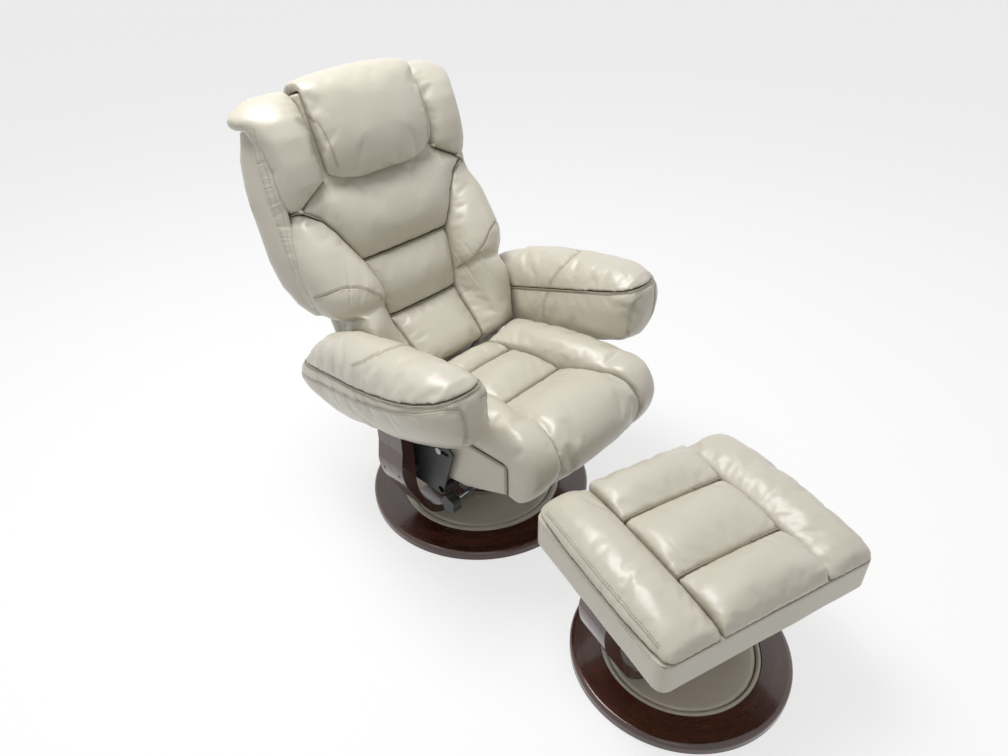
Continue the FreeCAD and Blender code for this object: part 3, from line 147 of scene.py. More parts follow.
class Tree:
    """A node tree of a material, of the world or of a geometry rule."""

    def __init__(self, tree: bpy.types.NodeTree) -> None:
        """Keeps the tree."""
        self.tree = tree

    def node(self, kind: str, settings: dict[str, Any], sockets: dict[Any, Any]) -> bpy.types.Node:
        """Adds a node, sets it, then fills its sockets.

        Args:
            kind: the node's type.
            settings: properties, set before the sockets.
            sockets: socket name or index to a plain value, a Value or a socket.

        Returns:
            The node.
        """
        made = self.tree.nodes.new(kind)
        for key, value in settings.items():
            setattr(made, key, value)
        for key, value in sockets.items():
            source = value.socket if isinstance(value, Value) else value
            if isinstance(source, bpy.types.NodeSocket):
                self.tree.links.new(source, made.inputs[key])
            else:
                made.inputs[key].default_value = source
        return made


class Graph(Tree):
    """The node graph of one material."""

    def __init__(self, name: str) -> None:
        """Starts a material with a Principled shader.

        Args:
            name: the material's name.
        """
        self.material = bpy.data.materials.new(name)
        self.material.use_nodes = True
        super().__init__(self.material.node_tree)
        self.tree.nodes.clear()
        self.shader = self.node("ShaderNodeBsdfPrincipled", {}, {})
        self.output = self.node("ShaderNodeOutputMaterial", {}, {"Surface": self.shader.outputs[0]})

    def place(self, centre: Point = (0.0, 0.0, 0.0), turn: float = 0.0) -> bpy.types.NodeSocket:
        """Object coordinates measured from a centre.

        Args:
            centre: the point that becomes the origin, in metres.
            turn: turn about the upright, in radians.

        Returns:
            The vector socket.
        """
        source = self.node("ShaderNodeTexCoord", {}, {})
        moved = self.node(
            "ShaderNodeVectorMath", {"operation": "SUBTRACT"}, {0: source.outputs["Object"], 1: centre}
        )
        mapped = self.node(
            "ShaderNodeMapping", {}, {"Vector": moved.outputs[0], "Rotation": (0.0, 0.0, turn)}
        )
        return mapped.outputs[0]

    def axes(self, vector: bpy.types.NodeSocket) -> tuple[Value, Value, Value]:
        """The three parts of a vector."""
        node = self.node("ShaderNodeSeparateXYZ", {}, {0: vector})
        return tuple(Value(self, out) for out in node.outputs)

    def joined(self, x: Any, y: Any, z: Any) -> bpy.types.NodeSocket:
        """A vector from three parts."""
        return self.node("ShaderNodeCombineXYZ", {}, {0: x, 1: y, 2: z}).outputs[0]

    def noise(self, vector: Any, scale: float, detail: float = 2.0, warp: float = 0.0) -> Value:
        """Soft noise between 0 and 1.

        Args:
            vector: where it is read.
            scale: waves in a metre.
            detail: number of finer layers.
            warp: how far the pattern is dragged about.

        Returns:
            The noise value.
        """
        sockets = {"Vector": vector, "Scale": scale, "Detail": detail, "Distortion": warp}
        return Value(self, self.node("ShaderNodeTexNoise", {}, sockets).outputs[0])

    def cells(self, vector: Any, scale: float) -> Value:
        """Distance from the middle of the nearest cell of a pebbled pattern."""
        node = self.node("ShaderNodeTexVoronoi", {"feature": "F1"}, {"Vector": vector, "Scale": scale})
        return Value(self, node.outputs["Distance"])

    def attribute(self, name: str) -> Value:
        """A number kept on the mesh."""
        node = self.node("ShaderNodeAttribute", {"attribute_name": name}, {})
        return Value(self, node.outputs["Fac"])

    def blend(self, factor: Any, first: Any, second: Any) -> bpy.types.NodeSocket:
        """A colour between two colours.

        Args:
            factor: share of the second colour.
            first: colour at 0.
            second: colour at 1.

        Returns:
            The colour socket.
        """
        settings = {"data_type": "RGBA", "clamp_factor": True}
        node = self.node("ShaderNodeMix", settings, {0: factor, 6: rgba(first), 7: rgba(second)})
        return node.outputs[2]

    def bump(self, height: Any, distance: float, strength: float, under: Any = None) -> bpy.types.NodeSocket:
        """A bumped normal.

        Args:
            height: the height between 0 and 1.
            distance: the depth in metres.
            strength: share of the bump that shows.
            under: a normal that is bumped further.

        Returns:
            The normal socket.
        """
        sockets = {"Height": height, "Distance": distance, "Strength": strength}
        if under is not None:
            sockets["Normal"] = under
        return self.node("ShaderNodeBump", {}, sockets).outputs[0]

    def finish(self, constants: dict[str, Any], varying: dict[str, Any]) -> bpy.types.Material:
        """Sets the shader's plain numbers and links what changes over the surface.

        Args:
            constants: the shader's plain numbers.
            varying: what changes over the surface, by the shader's socket.

        Returns:
            The material.
        """
        for key, value in constants.items():
            self.shader.inputs[key].default_value = value
        for key, value in varying.items():
            socket = value.socket if isinstance(value, Value) else value
            self.tree.links.new(socket, self.shader.inputs[key])
        return self.material


def rgba(colour: Any) -> Any:
    """A colour with its fourth number, or a socket as it is."""
    return (*colour, 1.0) if isinstance(colour, tuple) and len(colour) == 3 else colour


# ---------------------------------------------------------------- finishes


@dataclass(frozen=True)
class Leather:
    """Smooth glossy coated leather with pebbled grain and fine creases, and shade painted into its colour
    along seams.
    """

    name: str = "cream_leather"
    light: Colour = (0.600, 0.565, 0.475)
    dark: Colour = (0.500, 0.465, 0.380)
    # colour of the shade painted along seams and in pucker hollows
    painted_shade: Colour = (0.270, 0.235, 0.175)
    roughness: float = 0.36

    def material(self) -> bpy.types.Material:
        """Builds the leather.

        Returns:
            The material.
        """
        g = Graph(self.name)
        at = g.place()
        cloudy = g.noise(at, 7.0, 3.0)
        creased = g.noise(at, 34.0, 4.0, 1.2)
        ridge = (1.0 - ((creased - 0.5).size() * 5.0)).clamped()
        pores = g.noise(at, 520.0, 2.0)
        pebble = g.cells(at, 780.0)
        # painted shade: a number kept on each mesh pulls the colour towards the shade colour along seams and
        # in hollows; the pores add a faint real speckle
        painted_shade = g.attribute("painted_shade")
        shade = g.blend(cloudy * 0.45 + ridge * 0.10, self.light, self.dark)
        pores_and_painted_shade = g.blend(painted_shade * 0.50 + pores * 0.06, shade, self.painted_shade)
        grain = g.bump(pebble, 0.00022, 0.32)
        lined = g.bump(1.0 - ridge, 0.0003, 0.20, grain)
        worn = g.bump(g.noise(at, 160.0, 3.0, 0.6), 0.0003, 0.25, lined)
        rough = (cloudy * 0.08 + (self.roughness - 0.04)) + painted_shade * 0.20
        return g.finish(
            {"Specular IOR Level": 0.5, "Coat Roughness": 0.30, "Coat IOR": 1.45, "Coat Weight": 0.30},
            {"Base Color": pores_and_painted_shade, "Roughness": rough, "Normal": worn},
        )


@dataclass(frozen=True)
class Speckled:
    """A plain finish of two mixed colours with a fine relief.

    The patches are given by scale and detail, the relief by its own scale and
    detail and by depth and strength, the roughness by its spread and its least
    value, and the constants by the shader's socket.
    """

    name: str
    light: Colour
    dark: Colour
    patch: tuple[float, float]
    fine: tuple[float, float]
    relief: tuple[float, float]
    rough: tuple[float, float]
    constants: tuple[tuple[str, float], ...]
    patch_warp: float = 0.0
    rough_by_fine: bool = False

    def material(self) -> bpy.types.Material:
        """Builds the finish.

        Returns:
            The material.
        """
        g = Graph(self.name)
        at = g.place()
        patch = g.noise(at, *self.patch, self.patch_warp)
        fine = g.noise(at, *self.fine)
        spread, least = self.rough
        rough = (fine if self.rough_by_fine else patch) * spread + least
        shade = g.blend(patch, self.light, self.dark)
        normal = g.bump(fine, *self.relief)
        return g.finish(dict(self.constants), {"Base Color": shade, "Roughness": rough, "Normal": normal})


def seam_leather_with_painted_shade() -> Speckled:
    """Leather rolled into a seam, coloured darker than the cover leather as painted shade in the seam's
    valley.

    Returns:
        The finish.
    """
    return Speckled(
        name="seam_leather_with_painted_shade",
        light=(0.43, 0.385, 0.305),
        dark=(0.29, 0.250, 0.190),
        patch=(120.0, 3.0),
        fine=(900.0, 2.0),
        relief=(0.0003, 0.4),
        rough=(0.2, 0.5),
        constants=(("Specular IOR Level", 0.3),),
    )


def sewing_thread() -> Speckled:
    """Twisted sewing thread.

    Returns:
        The finish.
    """
    return Speckled(
        name="sewing_thread",
        light=(0.34, 0.29, 0.22),
        dark=(0.18, 0.15, 0.11),
        patch=(1400.0, 1.0),
        fine=(1400.0, 1.0),
        relief=(0.0002, 0.5),
        rough=(0.2, 0.55),
        constants=(("Sheen Weight", 0.2),),
    )


def steel(name: str, light: Colour, dark: Colour, metallic: float, roughness: float) -> Speckled:
    """Plated or painted steel.

    Args:
        name: the material's name.
        light: its lighter colour.
        dark: its darker colour.
        metallic: 1 for bare metal, 0 for paint.
        roughness: its least roughness.

    Returns:
        The finish.
    """
    return Speckled(
        name=name,
        light=light,
        dark=dark,
        patch=(30.0, 4.0),
        patch_warp=0.5,
        fine=(1300.0, 2.0),
        relief=(0.00015, 0.25),
        rough=(0.18, roughness),
        constants=(("Metallic", metallic),),
    )


def moulded_plastic() -> Speckled:
    """Moulded black plastic with a spark-eroded skin.

    Returns:
        The finish.
    """
    return Speckled(
        name="moulded_plastic",
        light=(0.030, 0.030, 0.032),
        dark=(0.012, 0.012, 0.013),
        patch=(45.0, 2.0),
        fine=(1800.0, 2.0),
        relief=(0.0002, 0.35),
        rough=(0.15, 0.36),
        constants=(("Specular IOR Level", 0.5),),
        rough_by_fine=True,
    )


class Grain(Enum):
    """How the grain of a timber piece runs."""

    ROUND_RING = "round a ring"
    BENT_STRIP = "along a bent strip"


@dataclass(frozen=True)
class Timber:
    """Dark reddish brown timber under gloss lacquer."""

    name: str
    grain: Grain
    centre: tuple[float, float] = (0.0, 0.0)
    turn: float = 0.0
    light: Colour = (0.105, 0.028, 0.014)
    dark: Colour = (0.030, 0.0075, 0.0042)

    def material(self) -> bpy.types.Material:
        """Builds the timber.

        Returns:
            The material.
        """
        g = Graph(self.name)
        at = g.place((self.centre[0], self.centre[1], 0.0), self.turn)
        x, y, z = g.axes(at)
        if self.grain is Grain.ROUND_RING:
            reach = (x * x + y * y).root()
            lines = g.joined(x / reach * 1.1 + z * 40.0, y / reach * 1.1, reach * 46.0)
            pores = g.joined(x / reach * 9.0, y / reach * 9.0 + z * 120.0, reach * 300.0)
        else:
            lines = g.joined(x * 1.4, y * 46.0, z * 1.4)
            pores = g.joined(x * 14.0, y * 320.0, z * 14.0)
        streak = g.noise(lines, 1.0, 5.0, 0.35)
        pore = g.noise(pores, 1.0, 2.0)
        cloudy = g.noise(at, 6.0, 2.0)
        tone = ((streak - 0.30) * 1.9 + cloudy * 0.35 - pore * 0.25).clamped()
        shade = g.blend(tone, self.dark, self.light)
        relief = g.bump(pore, 0.00012, 0.22)
        wavy = g.bump(cloudy, 0.0007, 0.12, relief)
        return g.finish(
            {"Specular IOR Level": 0.55, "Coat Weight": 0.55, "Coat Roughness": 0.07, "Coat IOR": 1.5},
            {"Base Color": shade, "Roughness": pore * 0.12 + 0.20, "Normal": wavy},
        )


@dataclass(frozen=True)
class Plywood:
    """Birch board whose layers show on its edge."""

    name: str = "birch_plywood"
    light: Colour = (0.56, 0.40, 0.24)
    dark: Colour = (0.34, 0.21, 0.11)
    layer: float = 0.0014

    def material(self) -> bpy.types.Material:
        """Builds the plywood.

        Returns:
            The material.
        """
        g = Graph(self.name)
        at = g.place()
        x, y, z = g.axes(at)
        layers = (z * (math.pi / self.layer)).sine() * 0.5 + 0.5
        figure = g.noise(g.joined(x * 4.0, y * 90.0, z * 90.0), 1.0, 4.0, 0.4)
        tone = (layers * 0.35 + figure * 0.6).clamped()
        return g.finish(
            {},
            {
                "Base Color": g.blend(tone, self.light, self.dark),
                "Roughness": figure * 0.2 + 0.55,
                "Normal": g.bump(figure, 0.0003, 0.3),
            },
        )


@dataclass(frozen=True)
class Woven:
    """Woven elastic webbing or pressed felt."""

    name: str
    light: Colour
    dark: Colour
    thread: float

    def material(self) -> bpy.types.Material:
        """Builds the weave.

        Returns:
            The material.
        """
        g = Graph(self.name)
        at = g.place()
        x, y, z = g.axes(at)
        turns = math.pi / self.thread
        weave = ((x * turns).sine() * (y * turns + z * turns).sine()) * 0.5 + 0.5
        fuzz = g.noise(at, 900.0, 3.0)
        tone = (weave * 0.6 + fuzz * 0.5).clamped()
        return g.finish(
            {"Sheen Weight": 0.25, "Specular IOR Level": 0.2},
            {
                "Base Color": g.blend(tone, self.dark, self.light),
                "Roughness": fuzz * 0.1 + 0.8,
                "Normal": g.bump(weave, 0.0005, 0.6),
            },
        )


@dataclass(frozen=True)
class Ground:
    """White studio floor that keeps a soft shadow."""

    name: str = "studio_floor"
    colour: Colour = (0.82, 0.82, 0.82)
    white: float = 0.62

    def material(self) -> bpy.types.Material:
        """Builds the floor.

        Returns:
            The material.
        """
        g = Graph(self.name)
        at = g.place()
        tint = g.blend(g.noise(at, 3.0), self.colour, (0.80, 0.80, 0.80))
        g.finish(
            {"Specular IOR Level": 0.1}, {"Base Color": tint, "Roughness": g.noise(at, 2.0) * 0.05 + 0.85}
        )
        path = g.node("ShaderNodeLightPath", {}, {})
        seen = [Value(g, path.outputs[n]) for n in ("Is Camera Ray", "Is Glossy Ray", "Is Transmission Ray")]
        share = (seen[0] + seen[1] + seen[2]).clamped() * self.white
        glow = g.node("ShaderNodeEmission", {}, {"Color": (1.0, 1.0, 1.0, 1.0), "Strength": 1.12})
        mixed = g.node("ShaderNodeMixShader", {}, {0: share, 1: g.shader.outputs[0], 2: glow.outputs[0]})
        g.tree.links.new(mixed.outputs[0], g.output.inputs["Surface"])
        return g.material


def built(finish: Any) -> Any:
    """A dataclass field that holds the finish's material."""
    return field(default_factory=finish.material)


@dataclass
class Finishes:
    """Every finish of the object, built once."""

    leather: bpy.types.Material = built(Leather())
    welt: bpy.types.Material = built(seam_leather_with_painted_shade())
    thread: bpy.types.Material = built(sewing_thread())
    ring: bpy.types.Material = built(Timber("ring_timber", Grain.ROUND_RING))
    yoke: bpy.types.Material = built(Timber("bent_timber", Grain.BENT_STRIP))
    small_ring: bpy.types.Material = built(Timber("ottoman_ring_timber", Grain.ROUND_RING, OTTOMAN_CENTRE))
    small_yoke: bpy.types.Material = built(
        Timber("ottoman_bent_timber", Grain.BENT_STRIP, OTTOMAN_CENTRE, math.radians(18.3))
    )
    zinc: bpy.types.Material = built(
        steel("zinc_plate", (0.56, 0.57, 0.59), (0.40, 0.41, 0.42), 1.0, 0.26)
    )
    black_steel: bpy.types.Material = built(
        steel("black_paint", (0.028, 0.028, 0.030), (0.012, 0.012, 0.013), 0.0, 0.34)
    )
    plastic: bpy.types.Material = built(moulded_plastic())
    board: bpy.types.Material = built(Plywood())
    webbing: bpy.types.Material = built(
        Woven("elastic_webbing", (0.24, 0.22, 0.20), (0.06, 0.055, 0.05), 0.0016)
    )
    felt: bpy.types.Material = built(
        Woven("pressed_felt", (0.20, 0.20, 0.20), (0.07, 0.07, 0.07), 0.0007)
    )


# ---------------------------------------------------------------- mesh tools


def points_of(mesh: bpy.types.Mesh) -> np.ndarray:
    """The vertices of a mesh as an array.

    Args:
        mesh: the mesh.

    Returns:
        One row for each vertex.
    """
    co = np.zeros(len(mesh.vertices) * 3)
    mesh.vertices.foreach_get("co", co)
    return co.reshape(-1, 3)


def set_points(mesh: bpy.types.Mesh, co: np.ndarray) -> None:
    """Writes the vertices of a mesh."""
    mesh.vertices.foreach_set("co", co.astype(np.float32).ravel())
    mesh.update()


def normals_of(mesh: bpy.types.Mesh) -> np.ndarray:
    """The vertex normals of a mesh.

    Args:
        mesh: the mesh.

    Returns:
        One unit vector for each vertex.
    """
    out = np.zeros(len(mesh.vertices) * 3, np.float32)
    mesh.vertex_normals.foreach_get("vector", out)
    return out.reshape(-1, 3).astype(float)


def edges_of(mesh: bpy.types.Mesh) -> np.ndarray:
    """The edges of a mesh as pairs of vertex numbers.

    Args:
        mesh: the mesh.

    Returns:
        The pairs.
    """
    out = np.zeros(len(mesh.edges) * 2, np.int32)
    mesh.edges.foreach_get("vertices", out)
    return out.reshape(-1, 2)


def relaxed(
    co: np.ndarray, edges: np.ndarray, steps: int, share: float, weight: np.ndarray | None = None
) -> np.ndarray:
    """Points drawn towards their neighbours' mean.

    Args:
        co: the points.
        edges: pairs of neighbours.
        steps: number of rounds.
        share: how far each point goes in a round.
        weight: a share for each point.

    Returns:
        The new points.
    """
    a, b = edges[:, 0], edges[:, 1]
    count = np.bincount(a, minlength=len(co)) + np.bincount(b, minlength=len(co))
    count = np.maximum(count, 1)[:, None]
    w = share if weight is None else share * weight[:, None]
    for _ in range(steps):
        total = np.stack(
            [np.bincount(a, co[b, k], len(co)) + np.bincount(b, co[a, k], len(co)) for k in range(3)], 1
        )
        co = co + (total / count - co) * w
    return co


def tree_of(mesh: bpy.types.Mesh) -> BVHTree:
    """A search tree over the faces of a mesh."""
    return BVHTree.FromPolygons([v.co for v in mesh.vertices], [p.vertices for p in mesh.polygons])


def linked(name: str, mesh: bpy.types.Mesh) -> bpy.types.Object:
    """A new object in the scene.

    Args:
        name: the object's name.
        mesh: the mesh.

    Returns:
        The object.
    """
    made = bpy.data.objects.new(name, mesh)
    bpy.context.scene.collection.objects.link(made)
    return made


def evaluated_copy(obj: bpy.types.Object, name: str) -> bpy.types.Mesh:
    """The mesh that an object's modifiers give.

    Args:
        obj: the object with its modifiers.
        name: the new mesh's name.

    Returns:
        The mesh.
    """
    graph = bpy.context.evaluated_depsgraph_get()
    mesh = bpy.data.meshes.new_from_object(obj.evaluated_get(graph), depsgraph=graph)
    mesh.name = name
    return mesh


def welded(node: str) -> bpy.types.Mesh:
    """A merged copy of a CAD node's mesh.

    Args:
        node: the node's name.

    Returns:
        The copy.
    """
    made = bmesh.new()
    made.from_mesh(frame["nodes"][node].data)
    bmesh.ops.remove_doubles(made, verts=made.verts, dist=2e-5)
    mesh = bpy.data.meshes.new(node + "_copy")
    made.to_mesh(mesh)
    made.free()
    return mesh


def outer_shell(mesh: bpy.types.Mesh) -> None:
    """Removes every island but the widest, such as the wall of an inner hollow.

    Args:
        mesh: the mesh, changed in place.
    """
    made = bmesh.new()
    made.from_mesh(mesh)
    seen: set[int] = set()
    islands: list[list[bmesh.types.BMVert]] = []
    made.verts.ensure_lookup_table()
    for start in made.verts:
        if start.index in seen:
            continue
        seen.add(start.index)
        stack, island = [start], []
        while stack:
            v = stack.pop()
            island.append(v)
            for e in v.link_edges:
                w = e.other_vert(v)
                if w.index not in seen:
                    seen.add(w.index)
                    stack.append(w)
        islands.append(island)
    islands.sort(key=lambda vs: -float(np.ptp(np.array([v.co for v in vs]), axis=0).sum()))
    for island in islands[1:]:
        bmesh.ops.delete(made, geom=island, context="VERTS")
    made.to_mesh(mesh)
    made.free()


def solid_mesh(name: str, points: Iterable[Any], faces: list[tuple[int, ...]]) -> bpy.types.Mesh:
    """A closed mesh whose faces all look outward.

    Args:
        name: the mesh's name.
        points: its corners.
        faces: its faces as corner numbers.

    Returns:
        The mesh.
    """
    mesh = bpy.data.meshes.new(name)
    mesh.from_pydata([tuple(p) for p in points], [], faces)
    made = bmesh.new()
    made.from_mesh(mesh)
    bmesh.ops.recalc_face_normals(made, faces=made.faces)
    made.to_mesh(mesh)
    made.free()
    return mesh


def wave(u: np.ndarray, length: float, seed: int) -> np.ndarray:
    """Smooth noise along a line, between 0 and 1.

    Args:
        u: distance along the line.
        length: spacing of the noise's knots.
        seed: fixed seed of the knots.

    Returns:
        The noise at each distance.
    """
    knots = np.random.RandomState(seed).rand(4096)
    t = u / length
    i = np.floor(t).astype(int)
    f = t - i
    f = f * f * (3 - 2 * f)
    return knots[i % 4096] * (1 - f) + knots[(i + 1) % 4096] * f


# ---------------------------------------------------------------- seams


@dataclass
class Seam:
    """One sewn line on the outside of the leather."""

    body: str
    line: np.ndarray
    out: np.ndarray
    sides: tuple[str, ...]
    cord: float = 0.0015
    plain: bool = False
    sink: float = 0.0022
    rows: tuple[float, ...] = ()
    groove: float = 0.0010
    groove_width: float = 0.0050
    pucker: float = 0.0016
    pucker_reach: float = 0.022
    pucker_pitch: float = 0.011

    def spaced(self, step: float) -> "Seam":
        """Lays the line's points at an even distance and eases its corners.

        Args:
            step: the distance between points, in metres.

        Returns:
            The seam itself.
        """
        run = np.r_[0, np.cumsum(np.linalg.norm(np.diff(self.line, axis=0), axis=1))]
        count = max(int(run[-1] / step), 2)
        at = np.linspace(0, run[-1], count + 1)
        line = np.stack([np.interp(at, run, self.line[:, k]) for k in range(3)], 1)
        out = np.stack([np.interp(at, run, self.out[:, k]) for k in range(3)], 1)
        for _ in range(4):
            line[1:-1] += (line[:-2] / 2 + line[2:] / 2 - line[1:-1]) * 0.5
            out[1:-1] += (out[:-2] / 2 + out[2:] / 2 - out[1:-1]) * 0.5
        self.line = line
        self.out = out / np.maximum(np.linalg.norm(out, axis=1), 1e-9)[:, None]
        return self

    def length(self) -> float:
        """Length of the line in metres."""
        return float(np.linalg.norm(np.diff(self.line, axis=0), axis=1).sum())

    def across(self) -> np.ndarray:
        """Unit directions square to the line, in the surface.

        Returns:
            One direction for each point.
        """
        along = np.gradient(self.line, axis=0)
        side = np.cross(along, self.out)
        return side / np.maximum(np.linalg.norm(side, axis=1), 1e-9)[:, None]


def mirrored(line: Sequence[Point], flip: float) -> list[Point]:
    """The line itself, or its mirror image across the chair where flip is -1."""
    return [(flip * x, y, z) for x, y, z in line]


def chains(pairs: Iterable[tuple[int, int]]) -> list[list[int]]:
    """Joins edges into runs of vertex numbers.

    Args:
        pairs: edges as pairs of vertex numbers.

    Returns:
        The runs.
    """
    near: dict[int, list[int]] = {}
    for a, b in pairs:
        near.setdefault(a, []).append(b)
        near.setdefault(b, []).append(a)
    used: set[tuple[int, int]] = set()
    runs = []
    ends = [v for v, n in near.items() if len(n) != 2]
    for start in ends + list(near):
        for first in near[start]:
            if (min(start, first), max(start, first)) in used:
                continue
            run, here, nxt = [start], start, first
            while nxt is not None:
                used.add((min(here, nxt), max(here, nxt)))
                run.append(nxt)
                onward = (
                    n for n in near[nxt] if (min(nxt, n), max(nxt, n)) not in used and len(near[nxt]) == 2
                )
                here, nxt = nxt, next(onward, None)
            runs.append(run)
    return runs


def joined_runs(runs: list[np.ndarray], reach: float) -> list[np.ndarray]:
    """Joins runs of points whose ends nearly meet.

    Args:
        runs: the runs, as arrays of points.
        reach: how near two ends lie to be joined, in metres.

    Returns:
        The joined runs.
    """
    runs = [r for r in runs if len(r) > 1]
    merged = True
    while merged:
        merged = False
        for i in range(len(runs)):
            for j in range(i + 1, len(runs)):
                a, b = runs[i], runs[j]
                for x, y in ((a, b), (a[::-1], b), (a, b[::-1]), (a[::-1], b[::-1])):
                    if np.linalg.norm(x[-1, :3] - y[0, :3]) < reach:
                        runs[i] = np.vstack([x, y])
                        runs.pop(j)
                        merged = True
                        break
                if merged:
                    break
            if merged:
                break
    return runs


@dataclass
class Sewing:
    """Finds where two CAD pieces meet on the outside, and keeps every seam."""

    seams: list[Seam] = field(default_factory=list)
    meshes: dict[str, bpy.types.Mesh] = field(default_factory=dict)
    trees: dict[str, BVHTree] = field(default_factory=dict)
    sharp: float = 0.35
    touching: float = 0.0016
    lifted: float = 0.003
    hidden_within: float = 0.10
    joined_within: float = 0.006
    shortest: float = 0.025
    step: float = 0.003
    beside: float = 0.012

    def mesh(self, node: str) -> bpy.types.Mesh:
        """Merged mesh of a node, made once.

        Args:
            node: the node's name.

        Returns:
            The mesh.
        """
        if node not in self.meshes:
            self.meshes[node] = welded(node)
        return self.meshes[node]

    def tree(self, node: str) -> BVHTree:
        """Search tree of a node, made once.

        Args:
            node: the node's name.

        Returns:
            The tree.
        """
        if node not in self.trees:
            self.trees[node] = tree_of(self.mesh(node))
        return self.trees[node]

    def row(self, body: str, panels: Sequence[str], near: Sequence[str], pucker_reach: float) -> None:
        """Adds the cross seams of panels that follow each other.

        Args:
            body: the body that they ride on.
            panels: the panels in their order.
            near: nodes that may hide the seams.
            pucker_reach: how far the puckers run from the seams, in metres.
        """
        for a, b in zip(panels, panels[1:]):
            self.border(body, a, b, near, sink=0.0030, pucker=0.0020, pucker_reach=pucker_reach)

    def border(self, body: str, a: str, b: str, near: Sequence[str], **sizes: Any) -> list[Seam]:
        """Adds the seams where node a meets node b and both can be seen.

        Args:
            body: the body that both ride on.
            a: the node whose edges are followed.
            b: its neighbour.
            near: nodes that may hide the seam.
            sizes: fields of the seams.

        Returns:
            The seams found.
        """
        made = bmesh.new()
        made.from_mesh(self.mesh(a))
        other = self.tree(b)
        blockers = [self.tree(n) for n in near]
        kept: list[tuple[int, int]] = []
        outs: dict[int, Vector] = {}
        for edge in made.edges:
            if len(edge.link_faces) != 2 or edge.calc_face_angle(0.0) < self.sharp:
                continue
            middle = (edge.verts[0].co + edge.verts[1].co) / 2
            hit = other.find_nearest(middle, self.touching)
            if hit[0] is None:
                continue
            faces = []
            for face in edge.link_faces:
                where = other.find_nearest(face.calc_center_median())
                faces.append((where[3], face))
            faces.sort(key=lambda item: item[0])
            normal = faces[1][1].normal
            start = middle + normal * self.lifted
            if any(t.ray_cast(start, normal, self.hidden_within)[0] is not None for t in blockers):
                continue
            kept.append((edge.verts[0].index, edge.verts[1].index))
            for v in edge.verts:
                outs[v.index] = outs.get(v.index, Vector()) + normal
        made.verts.ensure_lookup_table()
        runs = []
        for run in chains(kept):
            runs.append(np.array([[*made.verts[i].co, *outs[i].normalized()] for i in run]))
        made.free()
        found = []
        for run in joined_runs(runs, self.joined_within):
            seam = Seam(body, run[:, :3], run[:, 3:], (a, b), **sizes)
            if seam.length() < self.shortest:
                continue
            seam.spaced(self.step)
            middle = len(seam.line) // 2
            beside = Vector(seam.line[middle] + seam.across()[middle] * self.beside)
            if self.tree(a).find_nearest(beside)[3] > other.find_nearest(beside)[3]:
                seam.line, seam.out = seam.line[::-1].copy(), seam.out[::-1].copy()
            found.append(seam)
        self.seams += found
        return found

    def traced(
        self, body: str, piece: str, points: Sequence[tuple[float, float, float]], **sizes: Any
    ) -> Seam:
        """Adds a seam laid over one piece through given points.

        Args:
            body: the body that it rides on.
            piece: the node that carries it.
            points: places near the surface, in metres.
            sizes: fields of the seam.

        Returns:
            The seam.
        """
        rough = Seam(body, np.array(points, float), np.zeros((len(points), 3)), (piece,), **sizes)
        rough.out[:, 2] = 1.0
        rough.spaced(self.step)
        tree = self.tree(piece)
        for i, p in enumerate(rough.line):
            where, normal, _, _ = tree.find_nearest(Vector(p))
            rough.line[i], rough.out[i] = where, normal
        rough.spaced(self.step)
        self.seams.append(rough)
        return rough


# ---------------------------------------------------------------- padded pieces


@dataclass
class Padding:
    """How one leather piece is filled and laid."""

    node: str
    body: str
    voxel: float = 0.006
    start: float = 0.0010
    cap: float = 0.010
    pressure: float = 4.0
    ease: float = 0.022
    rounds: int = 3
    fill: float = 0.7
    levels: int = 1
    swell: bool = True
    lump: float = 0.0010
    lump_length: float = 0.075
    padded: bool = True
    hollow: bool = True
    remesh: bool = True

    @classmethod
    def cover(cls, node: str, body: str, voxel: float) -> "Padding":
        """A thin side cover, which is neither blown up nor padded.

        Args:
            node: the cover's node.
            body: the body that it rides on.
            voxel: size of its mesh, in metres.

        Returns:
            How the cover is laid.
        """
        flat = {"swell": False, "padded": False, "hollow": False}
        return cls(node, body, voxel=voxel, start=0.0008, rounds=4, levels=0, **flat)


@dataclass(frozen=True)
class Stretch:
    """How the leather gives while it is blown up."""

    quality: int = 4
    mass: float = 0.3
    tension: float = 15.0
    shear: float = 8.0
    bending: float = 0.8
    gap: float = 0.0012
    held_over: float = 0.010
    grades: int = 10
    room_share: float = 0.45
    least_room: float = 0.0006
    eased: int = 2


@dataclass(frozen=True)
class Crease:
    """How seams press, gather and shade the leather beside them."""

    reach: float = 0.06
    batch: int = 4000
    seed: int = 11
    slow_seed: int = 71
    slow: int = 4
    sharpness: float = 1.5
    near: float = 0.45
    far: float = 1.1
    smooth: float = 0.004
    least: float = 0.3
    shade: float = 0.0032
    shade_dips: float = 0.30
    shade_reach: float = 0.012
    lumps_from: float = 0.03


